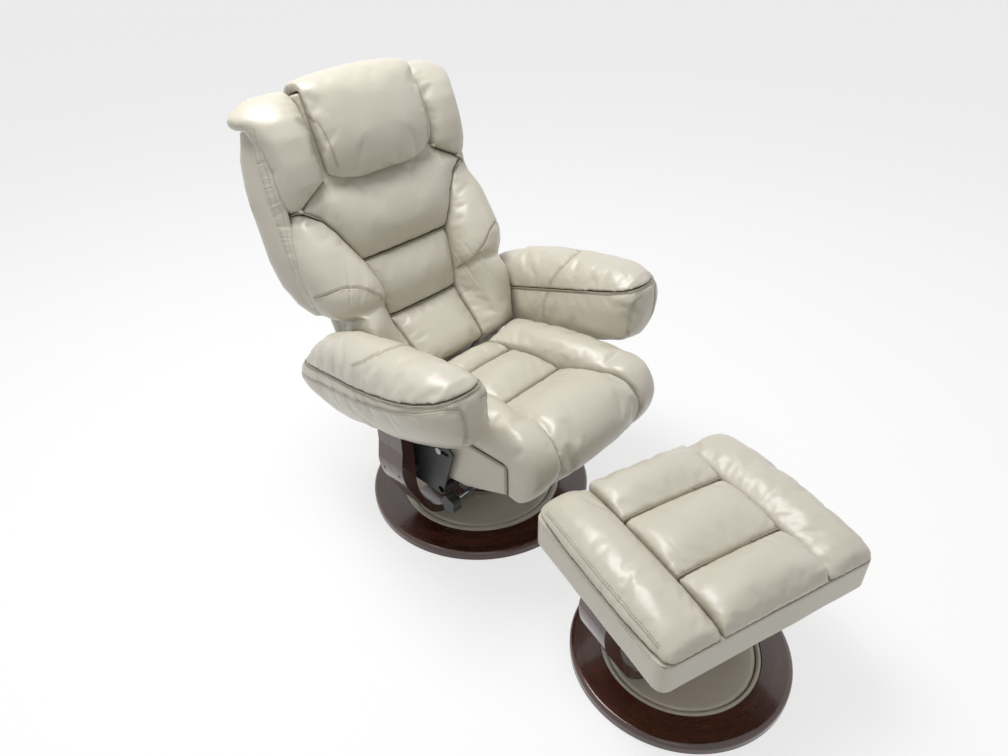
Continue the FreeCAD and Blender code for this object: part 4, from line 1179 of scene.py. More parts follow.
@dataclass
class Filling:
    """Turns CAD solids into filled leather pieces."""

    sewing: Sewing
    leather: bpy.types.Material
    work: list[tuple[Padding, bpy.types.Object, np.ndarray, np.ndarray]] = field(default_factory=list)
    trees: dict[str, BVHTree] = field(default_factory=dict)
    stretch: Stretch = Stretch()
    crease: Crease = Crease()
    far_room: float = 0.06
    sharp: float = math.radians(48.0)

    def _room(self, padding: Padding, co: np.ndarray) -> np.ndarray:
        """Distance from each point to the nearest other CAD node, up to 60 mm.

        Args:
            padding: the piece's sizes.
            co: the points.

        Returns:
            A distance for each point.
        """
        far = self.far_room
        low, high = co.min(0) - far, co.max(0) + far
        room = np.full(len(co), far)
        for node in frame["nodes"]:
            if node == padding.node:
                continue
            a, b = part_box(node)
            if any(b[k] < low[k] or a[k] > high[k] for k in range(3)):
                continue
            tree = self.sewing.tree(node)
            inside = np.all((co > np.array(a) - far) & (co < np.array(b) + far), axis=1)
            for i in np.nonzero(inside)[0]:
                where = tree.find_nearest(Vector(co[i]), float(room[i]))
                if where[0] is not None:
                    room[i] = min(room[i], where[3])
        return room

    def add(self, padding: Padding) -> None:
        """Makes the slightly smaller start mesh of one piece.

        Args:
            padding: the piece's sizes.
        """
        rough = linked(padding.node + "_leather", self.sewing.mesh(padding.node).copy())
        voxels = rough.modifiers.new("voxels", "REMESH")
        voxels.mode = "VOXEL"
        voxels.voxel_size = padding.voxel
        if not padding.remesh:
            rough.modifiers.clear()
            finer = rough.modifiers.new("finer", "SUBSURF")
            finer.subdivision_type = "SIMPLE"
            finer.levels = finer.render_levels = 1
        mesh = evaluated_copy(rough, padding.node + "_leather")
        rough.modifiers.clear()
        rough.data = mesh
        if padding.remesh and padding.hollow:
            outer_shell(mesh)
        co = relaxed(points_of(mesh), edges_of(mesh), padding.rounds, 0.5)
        set_points(mesh, co)
        set_points(mesh, co - normals_of(mesh) * padding.start)
        co = points_of(mesh)
        room = self._room(padding, co)
        self.work.append((padding, rough, co, room))
        log.info("%s starts with %d points", padding.node, len(co))

    def swell(self, frames: int) -> None:
        """Blows every piece up against its seams, all at once.

        Args:
            frames: number of steps of the simulation.
        """
        scene, give = bpy.context.scene, self.stretch
        scene.frame_start, scene.frame_end = 1, frames
        filled = [w for w in self.work if w[0].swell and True]
        for padding, obj, _, room in filled:
            held = obj.vertex_groups.new(name="held")
            weight = np.clip(1.0 - (room - padding.start - give.gap) / give.held_over, 0.0, 1.0)
            for level in range(1, give.grades + 1):
                chosen = np.nonzero(np.round(weight * give.grades) == level)[0]
                if len(chosen):
                    held.add(chosen.tolist(), level / give.grades, "REPLACE")
            cloth = obj.modifiers.new("fill", "CLOTH")
            s = cloth.settings
            s.quality = give.quality
            s.mass = give.mass
            s.use_pressure = True
            s.uniform_pressure_force = padding.pressure
            s.effector_weights.gravity = 0.0
            s.tension_stiffness = s.compression_stiffness = give.tension
            s.shear_stiffness = give.shear
            s.bending_stiffness = give.bending
            s.shrink_min = -padding.ease
            s.vertex_group_mass = "held"
            cloth.point_cache.frame_start = 1
            cloth.point_cache.frame_end = frames
        if filled:
            for step in range(1, frames + 1):
                scene.frame_set(step)
        graph = bpy.context.evaluated_depsgraph_get()
        for padding, obj, co, room in filled:
            result = obj.evaluated_get(graph).to_mesh()
            move = points_of(result) - co
            obj.evaluated_get(graph).to_mesh_clear()
            size = np.linalg.norm(move, axis=1)
            limit = np.minimum(padding.cap, give.room_share * room + give.least_room)
            move *= np.minimum(1.0, limit / np.maximum(size, 1e-9))[:, None]
            obj.modifiers.clear()
            obj.vertex_groups.clear()
            mesh = obj.data
            new = relaxed(co + move, edges_of(mesh), give.eased, 0.5)
            set_points(mesh, new)
            log.info(
                "%s swells %.1f mm at most",
                padding.node,
                1000 * float(np.linalg.norm(new - co, axis=1).max()),
            )
        scene.frame_set(1)

    def dress(self) -> None:
        """Refines each piece, presses its seams and puckers in, and seats it on its body."""
        for padding, obj, _, _ in self.work:
            if padding.levels:
                finer = obj.modifiers.new("finer", "SUBSURF")
                finer.levels = finer.render_levels = padding.levels
                mesh = evaluated_copy(obj, obj.name)
                obj.modifiers.clear()
                obj.data = mesh
            mesh = obj.data
            self._press(padding, mesh)
            mesh.shade_smooth()
            if not padding.remesh:
                mesh.set_sharp_from_angle(angle=self.sharp)
            mesh.materials.clear()
            mesh.materials.append(self.leather)
            self.trees[padding.node] = tree_of(mesh)
            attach(obj, padding.body)
            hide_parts(padding.node)
            log.info("%s dressed, %d faces", obj.name, len(mesh.polygons))

    def _press(self, padding: Padding, mesh: bpy.types.Mesh) -> None:
        """Presses grooves, puckers and soft lumps into a piece, and keeps the shade painted along its seams.

        Args:
            padding: the piece's sizes.
            mesh: its mesh, changed in place.
        """
        c = self.crease
        co, normals = points_of(mesh), normals_of(mesh)
        depth = np.zeros(len(co))
        painted_shade = np.zeros(len(co))
        lumps = np.array([noise.noise(Vector(p) / padding.lump_length) for p in co])
        room = np.ones(len(co))
        for number, seam in enumerate(s for s in self.sewing.seams if padding.node in s.sides):
            low, high = seam.line.min(0) - c.reach, seam.line.max(0) + c.reach
            near = np.nonzero(np.all((co > low) & (co < high), axis=1))[0]
            if not len(near):
                continue
            run = np.r_[0, np.cumsum(np.linalg.norm(np.diff(seam.line, axis=0), axis=1))]
            best = np.full(len(near), 9.0)
            where = np.zeros(len(near))
            for chunk in range(0, len(near), c.batch):
                part = near[chunk:chunk + c.batch]
                gap = np.linalg.norm(co[part][:, None] - seam.line[None], axis=2)
                pick = gap.argmin(1)
                best[chunk:chunk + c.batch] = gap[np.arange(len(part)), pick]
                where[chunk:chunk + c.batch] = run[pick]
            fast = wave(where, seam.pucker_pitch, c.seed + number)
            dips = (2 * np.abs(fast - 0.5)) ** c.sharpness
            longer = wave(where, seam.pucker_pitch * c.slow, c.slow_seed + number)
            reach = seam.pucker_reach * (c.near + c.far * longer)
            edge = 1 - np.exp(-((best / c.smooth) ** 2))
            pucker = seam.pucker * (c.least + longer) * dips * np.exp(-best / reach) * edge
            groove = seam.groove * np.exp(-((best / seam.groove_width) ** 2))
            depth[near] += pucker + groove
            # painted shade: darkest on the seam line and in the puckers' hollows
            shade = np.exp(-((best / c.shade) ** 2))
            shade = shade + c.shade_dips * dips * np.exp(-best / c.shade_reach)
            painted_shade[near] = np.maximum(painted_shade[near], shade)
            room[near] = np.minimum(room[near], best)
        lift = padding.lump * lumps * np.clip(room / c.lumps_from, 0.0, 1.0)
        new = co + normals * (lift - depth)[:, None]
        set_points(mesh, new)
        # kept on the mesh; the leather's shader darkens its colour by it as painted shade
        kept = mesh.attributes.new("painted_shade", "FLOAT", "POINT")
        kept.data.foreach_set("value", np.clip(painted_shade, 0, 1).astype(np.float32))


# ---------------------------------------------------------------- geometry nodes


class Rule(Tree):
    """A geometry node tree built step by step."""

    def __init__(self, name: str, inputs: dict[str, tuple[str, Any]]) -> None:
        """Starts a tree with its named inputs.

        Args:
            name: the tree's name.
            inputs: input name to its socket type and first value.
        """
        super().__init__(bpy.data.node_groups.new(name, "GeometryNodeTree"))
        self.tree.interface.new_socket("Geometry", in_out="INPUT", socket_type="NodeSocketGeometry")
        for key, (kind, value) in inputs.items():
            made = self.tree.interface.new_socket(key, in_out="INPUT", socket_type=kind)
            if value is not None:
                made.default_value = value
        self.tree.interface.new_socket("Geometry", in_out="OUTPUT", socket_type="NodeSocketGeometry")
        self.start = self.node("NodeGroupInput", {}, {})
        self.end = self.node("NodeGroupOutput", {}, {})

    def given(self, name: str) -> bpy.types.NodeSocket:
        """One of the tree's inputs."""
        return self.start.outputs[name]

    def close(self, geometry: bpy.types.NodeSocket) -> None:
        """Ends the tree in real geometry with its material.

        Args:
            geometry: what the tree has built.
        """
        real = self.node("GeometryNodeRealizeInstances", {}, {0: geometry})
        smooth = self.node("GeometryNodeSetShadeSmooth", {}, {0: real.outputs[0]})
        painted = self.node(
            "GeometryNodeSetMaterial", {}, {0: smooth.outputs[0], "Material": self.given("Material")}
        )
        self.tree.links.new(painted.outputs[0], self.end.inputs[0])

    def grown(self, obj: bpy.types.Object, name: str, values: dict[str, Any]) -> bpy.types.Object:
        """Runs the tree on an object and returns the result as a plain mesh object.

        Args:
            obj: the object that carries the lines; it is removed.
            name: the new object's name.
            values: the tree's inputs.

        Returns:
            The new object.
        """
        modifier = obj.modifiers.new("rule", "NODES")
        modifier.node_group = self.tree
        for item in self.tree.interface.items_tree:
            if item.in_out == "INPUT" and item.name in values:
                modifier[item.identifier] = values[item.name]
        mesh = evaluated_copy(obj, name)
        bpy.data.objects.remove(obj)
        return linked(name, mesh)


def stitch_rule() -> Rule:
    """Rows of thread stitches along lines.

    Returns:
        The rule.
    """
    rule = Rule(
        "stitch_rows",
        {
            "Pitch": ("NodeSocketFloat", 0.006),
            "Length": ("NodeSocketFloat", 0.0042),
            "Radius": ("NodeSocketFloat", 0.0006),
            "Seed": ("NodeSocketInt", 3),
            "Material": ("NodeSocketMaterial", None),
        },
    )
    lines = rule.node("GeometryNodeMeshToCurve", {}, {0: rule.given("Geometry")})
    points = rule.node(
        "GeometryNodeResampleCurve", {"mode": "LENGTH"}, {0: lines.outputs[0], "Length": rule.given("Pitch")}
    )
    along = rule.node("GeometryNodeInputTangent", {}, {})
    turn = rule.node("FunctionNodeAlignRotationToVector", {"axis": "Z"}, {"Vector": along.outputs[0]})
    seed = {0: (0.85, 0.85, 0.80), 1: (1.15, 1.15, 1.12), "Seed": rule.given("Seed")}
    size = rule.node("FunctionNodeRandomValue", {"data_type": "FLOAT_VECTOR"}, seed)
    bead = rule.node("GeometryNodeMeshUVSphere", {}, {"Segments": 6, "Rings": 4, "Radius": 1.0})
    half = rule.node("ShaderNodeMath", {"operation": "MULTIPLY"}, {0: rule.given("Length"), 1: 0.5})
    shape = rule.node(
        "ShaderNodeCombineXYZ", {}, {0: rule.given("Radius"), 1: rule.given("Radius"), 2: half.outputs[0]}
    )
    stitch = rule.node("GeometryNodeTransform", {}, {0: bead.outputs[0], "Scale": shape.outputs[0]})
    sockets = {
        "Points": points.outputs[0],
        "Instance": stitch.outputs[0],
        "Rotation": turn.outputs[0],
        "Scale": size.outputs[0],
    }
    rule.close(rule.node("GeometryNodeInstanceOnPoints", {}, sockets).outputs[0])
    return rule


def cord_rule() -> Rule:
    """A thin rolled cord of leather along lines.

    Returns:
        The rule.
    """
    rule = Rule(
        "seam_cord",
        {
            "Radius": ("NodeSocketFloat", 0.0016),
            "Sides": ("NodeSocketInt", 6),
            "Material": ("NodeSocketMaterial", None),
        },
    )
    lines = rule.node("GeometryNodeMeshToCurve", {}, {0: rule.given("Geometry")})
    ring = rule.node(
        "GeometryNodeCurvePrimitiveCircle",
        {},
        {"Resolution": rule.given("Sides"), "Radius": rule.given("Radius")},
    )
    cord = rule.node(
        "GeometryNodeCurveToMesh",
        {},
        {"Curve": lines.outputs[0], "Profile Curve": ring.outputs[0], "Fill Caps": True},
    )
    rule.close(cord.outputs[0])
    return rule


def line_object(name: str, runs: Sequence[np.ndarray]) -> bpy.types.Object:
    """An object that holds open lines as mesh edges.

    Args:
        name: the object's name.
        runs: the lines as arrays of points.

    Returns:
        The object.
    """
    points, edges = [], []
    for run in runs:
        first = len(points)
        points += [tuple(p) for p in run]
        edges += [(first + i, first + i + 1) for i in range(len(run) - 1)]
    mesh = bpy.data.meshes.new(name)
    mesh.from_pydata(points, edges, [])
    return linked(name, mesh)


@dataclass
class Trim:
    """The cords and stitches of every seam."""

    sewing: Sewing
    filling: Filling
    finishes: Finishes
    pitch: float = 0.0062
    stitch_length: float = 0.0044
    stitch_radius: float = 0.00070
    stitch_seed: int = 5
    sides: int = 8
    lift: float = 0.0001
    above: float = 0.014
    below: float = 0.032
    astray: float = 0.009

    def _laid(self, seam: Seam, offset: float) -> list[np.ndarray]:
        """A row beside a seam, dropped on the finished leather.

        Args:
            seam: the seam.
            offset: distance of the row to one side.

        Returns:
            The runs of the row that found leather.
        """
        trees = [self.filling.trees[n] for n in seam.sides if n in self.filling.trees]
        runs, run = [], []
        for p, n in zip(seam.line + seam.across() * offset, seam.out):
            best = None
            for tree in trees:
                hit = tree.ray_cast(Vector(p + n * self.above), Vector(-n), self.below)
                found = hit[0] is not None and abs(hit[3] - self.above) < self.astray
                if found and (best is None or hit[3] < best[0]):
                    best = (hit[3], hit[0] + hit[1] * self.lift)
            if best is None:
                if len(run) > 2:
                    runs.append(np.array(run))
                run = []
            else:
                run.append(best[1])
        if len(run) > 2:
            runs.append(np.array(run))
        return runs

    def _settle(self, seam: Seam) -> None:
        """Moves a seam that lies over one piece down onto its finished leather.

        Args:
            seam: the seam, changed in place.
        """
        tree = self.filling.trees.get(seam.sides[0])
        if len(seam.sides) != 1 or tree is None:
            return
        for i, p in enumerate(seam.line):
            where, normal, _, _ = tree.find_nearest(Vector(p))
            seam.line[i], seam.out[i] = where, normal

    def build(self) -> None:
        """Makes one piece of cords and one of stitches for each body."""
        stitches, cords = stitch_rule(), cord_rule()
        for seam in self.sewing.seams:
            self._settle(seam)
        for body in sorted({s.body for s in self.sewing.seams}):
            here = [s for s in self.sewing.seams if s.body == body]
            for radius, plain in sorted({(s.cord, s.plain) for s in here if s.cord > 0}):
                runs = [s.line - s.out * s.sink for s in here if (s.cord, s.plain) == (radius, plain)]
                name = f"{body}_seam_{'rolls' if plain else 'cords'}_{round(radius * 10000)}"
                # cords that are not plain get the seam leather, whose darker colour is painted shade
                paint = self.finishes.leather if plain else self.finishes.welt
                values = {"Radius": radius, "Sides": self.sides, "Material": paint}
                made = cords.grown(line_object(name + "_lines", runs), name, values)
                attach(made, body)
                log.info("%s, %d runs", name, len(runs))
            rows = [run for s in here for offset in s.rows for run in self._laid(s, offset)]
            if rows:
                name = f"{body}_stitches"
                values = {
                    "Pitch": self.pitch,
                    "Length": self.stitch_length,
                    "Radius": self.stitch_radius,
                    "Seed": self.stitch_seed,
                    "Material": self.finishes.thread,
                }
                made = stitches.grown(line_object(name + "_lines", rows), name, values)
                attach(made, body)
                log.info("%s, %d rows, %d faces", name, len(rows), len(made.data.polygons))


# ---------------------------------------------------------------- sub-assemblies


@dataclass
class Seat:
    """The five leather pieces and the side cover of the seat."""

    body: str = "seat"
    cap: float = 0.012
    panels: tuple[str, ...] = ("seat_rear_panel", "seat_middle_panel", "seat_front_panel")
    bolsters: tuple[str, ...] = ("left_seat_bolster", "right_seat_bolster")
    cover: str = "seat_apron"

    def build(self, sewing: Sewing, filling: Filling) -> None:
        """Finds the seams and starts the pieces.

        Args:
            sewing: keeps the seams.
            filling: keeps the padded pieces.
        """
        near = self.panels + self.bolsters + (self.cover,)
        sewing.row(self.body, self.panels, near, pucker_reach=0.026)
        for side in self.bolsters:
            for panel in self.panels:
                sewing.border(self.body, side, panel, near, rows=(-0.0065,))
            sewing.border(self.body, side, self.cover, near, rows=DOUBLE_ROW, pucker=0.0010)
        sewing.border(self.body, self.panels[2], self.cover, near, pucker=0.0010)
        for panel in self.panels:
            filling.add(Padding(panel, self.body, cap=self.cap))
        for side in self.bolsters:
            filling.add(Padding(side, self.body, cap=self.cap, lump=0.0018))
        filling.add(Padding.cover(self.cover, self.body, voxel=0.004))


@dataclass
class Back:
    """The leather pieces of the back."""

    body: str = "back"
    cap: float = 0.012
    middle: tuple[str, ...] = ("lower_back_panel", "lumbar_panel", "upper_back_panel")
    shell: str = "back_shell"
    pillow: str = "head_pillow"
    wing_seam: tuple[Point, ...] = (
        (0.306, 0.232, 0.640),
        (0.286, 0.191, 0.659),
        (0.257, 0.172, 0.670),
        (0.219, 0.155, 0.662),
        (0.187, 0.148, 0.635),
        (0.154, 0.168, 0.600),
        (0.129, 0.195, 0.570),
    )
    pillow_seam: tuple[Point, ...] = (
        (0.148, 0.425, 1.033), (0.153, 0.350, 1.010), (0.151, 0.318, 0.975), (0.138, 0.305, 0.905)
    )

    def build(self, sewing: Sewing, filling: Filling) -> None:
        """Finds the seams and starts the pieces.

        Args:
            sewing: keeps the seams.
            filling: keeps the padded pieces.
        """
        wings = ("left_lower_wing", "right_lower_wing", "left_upper_wing", "right_upper_wing")
        near = self.middle + wings + (self.shell, self.pillow)
        sewing.row(self.body, self.middle, near, pucker_reach=0.024)
        for side in ("left", "right"):
            lower, upper = f"{side}_lower_wing", f"{side}_upper_wing"
            for panel in self.middle:
                sewing.border(self.body, lower, panel, near, pucker=0.0016)
            sewing.border(
                self.body,
                upper,
                self.middle[2],
                near,
                cord=0.0042,
                plain=True,
                sink=0.0022,
                rows=DOUBLE_ROW,
                groove=0.0,
            )
            sewing.border(self.body, lower, upper, near)
            flip = -1.0 if side == "right" else 1.0
            sewing.traced(
                self.body,
                lower,
                mirrored(self.wing_seam, flip),
                cord=0.0012,
                sink=0.0006,
                rows=(-0.0055, 0.0055),
                groove=0.0032,
                groove_width=0.0035,
                pucker=0.0030,
                pucker_reach=0.030,
                pucker_pitch=0.010,
            )
            sewing.traced(
                self.body,
                self.pillow,
                mirrored(self.pillow_seam, flip),
                cord=0.0,
                rows=(0.0,),
                groove=0.0012,
                pucker=0.0012,
                pucker_reach=0.012,
            )
            for wing in (lower, upper):
                sewing.border(
                    self.body,
                    wing,
                    self.shell,
                    near,
                    cord=0.0,
                    pucker=0.0034,
                    pucker_reach=0.032,
                    pucker_pitch=0.009,
                )
        for panel in self.middle:
            filling.add(Padding(panel, self.body, cap=self.cap))
        for wing in wings:
            filling.add(Padding(wing, self.body, cap=self.cap, lump=0.0020))
        filling.add(Padding(self.pillow, self.body, cap=self.cap, fill=0.8))
        filling.add(
            Padding(
                self.shell,
                self.body,
                remesh=False,
                start=0.0,
                rounds=0,
                levels=0,
                swell=False,
                padded=False,
                lump=0.0030,
            )
        )


@dataclass
class Gusset:
    """Gathered leather that joins the wings to the rear cover on each side."""

    body: str = "back"
    cover: str = "back_shell"
    forward: Point = (0.0, -0.9397, 0.3420)
    ahead: float = 0.034
    furthest: float = 0.060
    columns: int = 14
    lap: float = 0.005
    thick: float = 0.0012
    gather: float = 0.0022
    gather_pitch: float = 0.0095
    proud: float = 0.0005
    rim_proud: float = 0.0008
    corner_ahead: float = 0.012
    corner_out: float = 0.0025
    step: float = 0.0025
    fewest_lines: int = 20
    shortest: float = 0.10
    rows: tuple[float, ...] = (0.45, 0.78)

    def _rim(self, sewing: Sewing, flip: float) -> list[np.ndarray]:
        """The cover's outer front edge on one side, with its outward directions.

        Args:
            sewing: gives the cover's CAD mesh.
            flip: -1 for the right side, 1 for the left side.

        Returns:
            Runs of points, each with its direction.
        """
        made = bmesh.new()
        made.from_mesh(sewing.mesh(self.cover))
        ahead = Vector(self.forward)
        kept, outs = [], {}
        for edge in made.edges:
            if len(edge.link_faces) != 2:
                continue
            first, second = sorted(edge.link_faces, key=lambda face: -face.normal.dot(ahead))
            if first.normal.dot(ahead) < 0.85 or second.normal.x * flip < 0.5:
                continue
            kept.append((edge.verts[0].index, edge.verts[1].index))
            for v in edge.verts:
                outs[v.index] = outs.get(v.index, Vector()) + second.normal
        made.verts.ensure_lookup_table()
        runs = [np.array([[*made.verts[i].co, *outs[i].normalized()] for i in run]) for run in chains(kept)]
        made.free()
        return joined_runs(runs, 0.006)

    def _crossing(self, seam: Seam, i: int, trees: list[BVHTree]) -> np.ndarray | None:
        """One line of the strip, from the cover's rim to the wing.

        Args:
            seam: the rim.
            i: number of its point.
            trees: the finished wings.

        Returns:
            The points from rim to wing, or None where no wing is near.
        """
        rim, out, ahead = Vector(seam.line[i]), Vector(seam.out[i]), Vector(self.forward)
        aim = rim + ahead * self.ahead
        hits = [tree.find_nearest(aim, self.furthest) for tree in trees]
        hits = [hit for hit in hits if hit[0] is not None]
        if not hits:
            return None
        best = min(hits, key=lambda hit: hit[3])
        first = rim - ahead * self.lap + out * self.rim_proud
        last = best[0] + best[1] * self.proud
        corner = rim + ahead * self.corner_ahead + out * self.corner_out
        points = []
        for t in np.linspace(0.0, 1.0, self.columns):
            point = first * (1 - t) ** 2 + corner * (2 * t * (1 - t)) + last * t**2
            for tree in trees:
                where, normal, _, _ = tree.find_nearest(point, 0.02)
                if where is not None and (point - where).dot(normal) < self.proud:
                    point = where + normal * self.proud
            points.append(point)
        return np.array(points)

    def build(self, sewing: Sewing, filling: Filling, finishes: Finishes) -> None:
        """Lays the strip on each side and adds its two rows of stitches.

        Args:
            sewing: keeps the seams.
            filling: keeps the padded pieces.
            finishes: every finish.
        """
        for side, flip in (("left", 1.0), ("right", -1.0)):
            trees = [filling.trees[f"{side}_lower_wing"], filling.trees[f"{side}_upper_wing"]]
            for number, run in enumerate(self._rim(sewing, flip)):
                seam = Seam(self.body, run[:, :3], run[:, 3:], (self.cover,), cord=0.0)
                if seam.length() < self.shortest:
                    continue
                seam.spaced(self.step)
                lines = [self._crossing(seam, i, trees) for i in range(len(seam.line))]
                lines = [line for line in lines if line is not None]
                if len(lines) > self.fewest_lines:
                    self._strip(
                        f"{side}_back_gusset_{number}", np.array(lines), seam.out, sewing, filling, finishes
                    )

    def _strip(
        self,
        name: str,
        grid: np.ndarray,
        outs: np.ndarray,
        sewing: Sewing,
        filling: Filling,
        finishes: Finishes,
    ) -> None:
        """Makes one strip from its grid of points.

        Args:
            name: the strip's name.
            grid: rows of points from rim to wing.
            outs: outward direction of each row.
            sewing: takes the strip's seams.
            filling: takes the strip's search tree.
            finishes: the finishes.
        """
        rows, columns = grid.shape[:2]
        for _ in range(3):
            grid[1:-1, 1:] += (grid[:-2, 1:] / 2 + grid[2:, 1:] / 2 - grid[1:-1, 1:]) * 0.5
        along, across = np.gradient(grid, axis=0), np.gradient(grid, axis=1)
        normal = np.cross(along, across)
        normal /= np.maximum(np.linalg.norm(normal, axis=2), 1e-9)[..., None]
        if float((normal * outs[:rows, None]).sum()) < 0:
            normal = -normal
        t = np.linspace(0.0, 1.0, columns)
        run = np.r_[0, np.cumsum(np.linalg.norm(np.diff(grid[:, 0], axis=0), axis=1))]
        dips = (
            2 * np.abs(wave(run, self.gather_pitch, 43) - 0.5)
        ) ** 1.4 * (0.4 + 0.9 * wave(run, self.gather_pitch * 4, 47))
        grid += normal * (self.gather * dips[:, None] * -(np.sin(math.pi * t) ** 0.7)[None])[..., None]
        outer, inner = grid, grid - normal * self.thick
        points = np.concatenate([outer.reshape(-1, 3), inner.reshape(-1, 3)])
        half = rows * columns
        faces = []
        for i in range(rows - 1):
            for j in range(columns - 1):
                a = i * columns + j
                faces += [
                    (a, a + 1, a + columns + 1, a + columns),
                    (a + half + columns, a + half + columns + 1, a + half + 1, a + half),
                ]
        rim = [(0, j) for j in range(columns)] + [(i, columns - 1) for i in range(1, rows)]
        rim += [(rows - 1, j) for j in range(columns - 2, -1, -1)] + [(i, 0) for i in range(rows - 2, 0, -1)]
        ring = [i * columns + j for i, j in rim]
        faces += [(ring[k - 1], ring[k - 1] + half, ring[k] + half, ring[k]) for k in range(len(ring))]
        mesh = solid_mesh(name, points, faces)
        mesh.shade_smooth()
        mesh.set_sharp_from_angle(angle=math.radians(70.0))
        mesh.materials.append(finishes.leather)
        # painted shade: darkest where the strip tucks under the wing, a little in the gathers' hollows
        kept = mesh.attributes.new("painted_shade", "FLOAT", "POINT")
        painted_shade = np.tile(np.exp(-(((1 - t) / 0.07) ** 2)) * 0.7, rows) + np.repeat(dips, columns) * 0.12
        kept.data.foreach_set("value", np.clip(np.r_[painted_shade, painted_shade], 0, 1).astype(np.float32))
        strip = linked(name, mesh)
        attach(strip, self.body)
        filling.trees[name] = tree_of(mesh)
        for share in self.rows:
            line = grid[3:-3, int(share * (columns - 1))].copy()
            sewing.seams.append(
                Seam(self.body, line, outs[3:3 + len(line)].copy(), (name,), cord=0.0, rows=(0.0,))
            )
        log.info("%s, %d rows", name, rows)


@dataclass
class Lip:
    """The top edge of the ottoman's side cover, turned in under the cushions."""

    body: str = "ottoman"
    cover: str = "ottoman_apron"
    frame_node: str = "ottoman_frame"
    trimmed: float = 0.994
    inward: float = 0.80
    thick: float = 0.0003

    def build(self, sewing: Sewing, finishes: Finishes) -> None:
        """Lays the turned-in edge on the wooden frame.

        Args:
            sewing: keeps the seams.
            finishes: every finish.
        """
        centre = np.array(OTTOMAN_CENTRE)
        outline = self._outline(points_of(sewing.mesh(self.cover))[:, :2])
        count = len(outline)
        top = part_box(self.frame_node)[1][2] + self.thick
        outer = centre + (outline - centre) * self.trimmed
        inner = centre + (outline - centre) * self.inward
        rings = [(outer, top), (inner, top), (inner, top - self.thick * 1.3), (outer, top - self.thick * 1.3)]
        points = [(x, y, z) for ring, z in rings for x, y in ring]
        faces = []
        for k in range(4):
            for i in range(count):
                j = (i + 1) % count
                a, b = k * count, ((k + 1) % 4) * count
                faces.append((a + i, a + j, b + j, b + i))
        mesh = solid_mesh("ottoman_apron_lip", points, faces)
        mesh.materials.append(finishes.leather)
        lip = linked("ottoman_apron_lip", mesh)
        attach(lip, self.body)
        log.info("ottoman_apron_lip, %d faces", len(faces))

    @staticmethod
    def _outline(flat: np.ndarray) -> np.ndarray:
        """Outer outline of level points, in order.

        Args:
            flat: the points.

        Returns:
            The corners of their convex outline.
        """
        points = sorted({(round(float(x), 6), round(float(y), 6)) for x, y in flat})
        halves = []
        for order in (points, points[::-1]):
            half: list[tuple[float, float]] = []
            for p in order:
                while len(half) > 1:
                    (ax, ay), (bx, by) = half[-2:]
                    if (bx - ax) * (p[1] - ay) - (by - ay) * (p[0] - ax) > 0:
                        break
                    half.pop()
                half.append(p)
            halves += half[:-1]
        return np.array(halves)


@dataclass
class Arms:
    """The padded arms of the chair."""

    body: str = "frame"
    cap: float = 0.008
    band: tuple[Point, ...] = (
        (0.327, 0.308, 0.404),
        (0.352, 0.190, 0.439),
        (0.375, 0.063, 0.482),
        (0.393, -0.052, 0.519),
        (0.403, -0.141, 0.551),
        (0.400, -0.229, 0.587),
        (0.371, -0.280, 0.605),
        (0.341, -0.302, 0.600),
        (0.333, -0.304, 0.555),
        (0.331, -0.304, 0.500),
    )
    nose: tuple[Point, ...] = (
        (0.285, -0.303, 0.600), (0.257, -0.296, 0.592), (0.250, -0.293, 0.551), (0.249, -0.292, 0.502)
    )
    over: tuple[Point, ...] = (
        (0.375, 0.000, 0.585),
        (0.369, -0.029, 0.605),
        (0.316, -0.078, 0.635),
        (0.262, -0.062, 0.610),
        (0.240, -0.039, 0.560),
    )
    inside: tuple[Point, ...] = ((0.240, -0.036, 0.540), (0.240, -0.027, 0.504), (0.240, -0.026, 0.460))

    def build(self, sewing: Sewing, filling: Filling) -> None:
        """Finds the seams and starts the pieces.

        Args:
            sewing: keeps the seams.
            filling: keeps the padded pieces.
        """
        for side in ("left", "right"):
            lower, pad = f"{side}_arm_body", f"{side}_arm_pad"
            sewing.border(
                self.body, lower, pad, (lower, pad), rows=DOUBLE_ROW, pucker=0.0014, pucker_reach=0.018
            )
            flip = -1.0 if side == "right" else 1.0
            for piece, line in (
                (lower, self.band), (lower, self.nose), (pad, self.over), (lower, self.inside)
            ):
                sewing.traced(
                    self.body,
                    piece,
                    mirrored(line, flip),
                    cord=0.0010,
                    sink=0.0004,
                    rows=(-0.005, 0.005),
                    groove=0.0018,
                    groove_width=0.0032,
                    pucker=0.0009,
                    pucker_reach=0.014,
                )
            filling.add(Padding(lower, self.body, cap=self.cap))
            filling.add(Padding(pad, self.body, cap=self.cap))


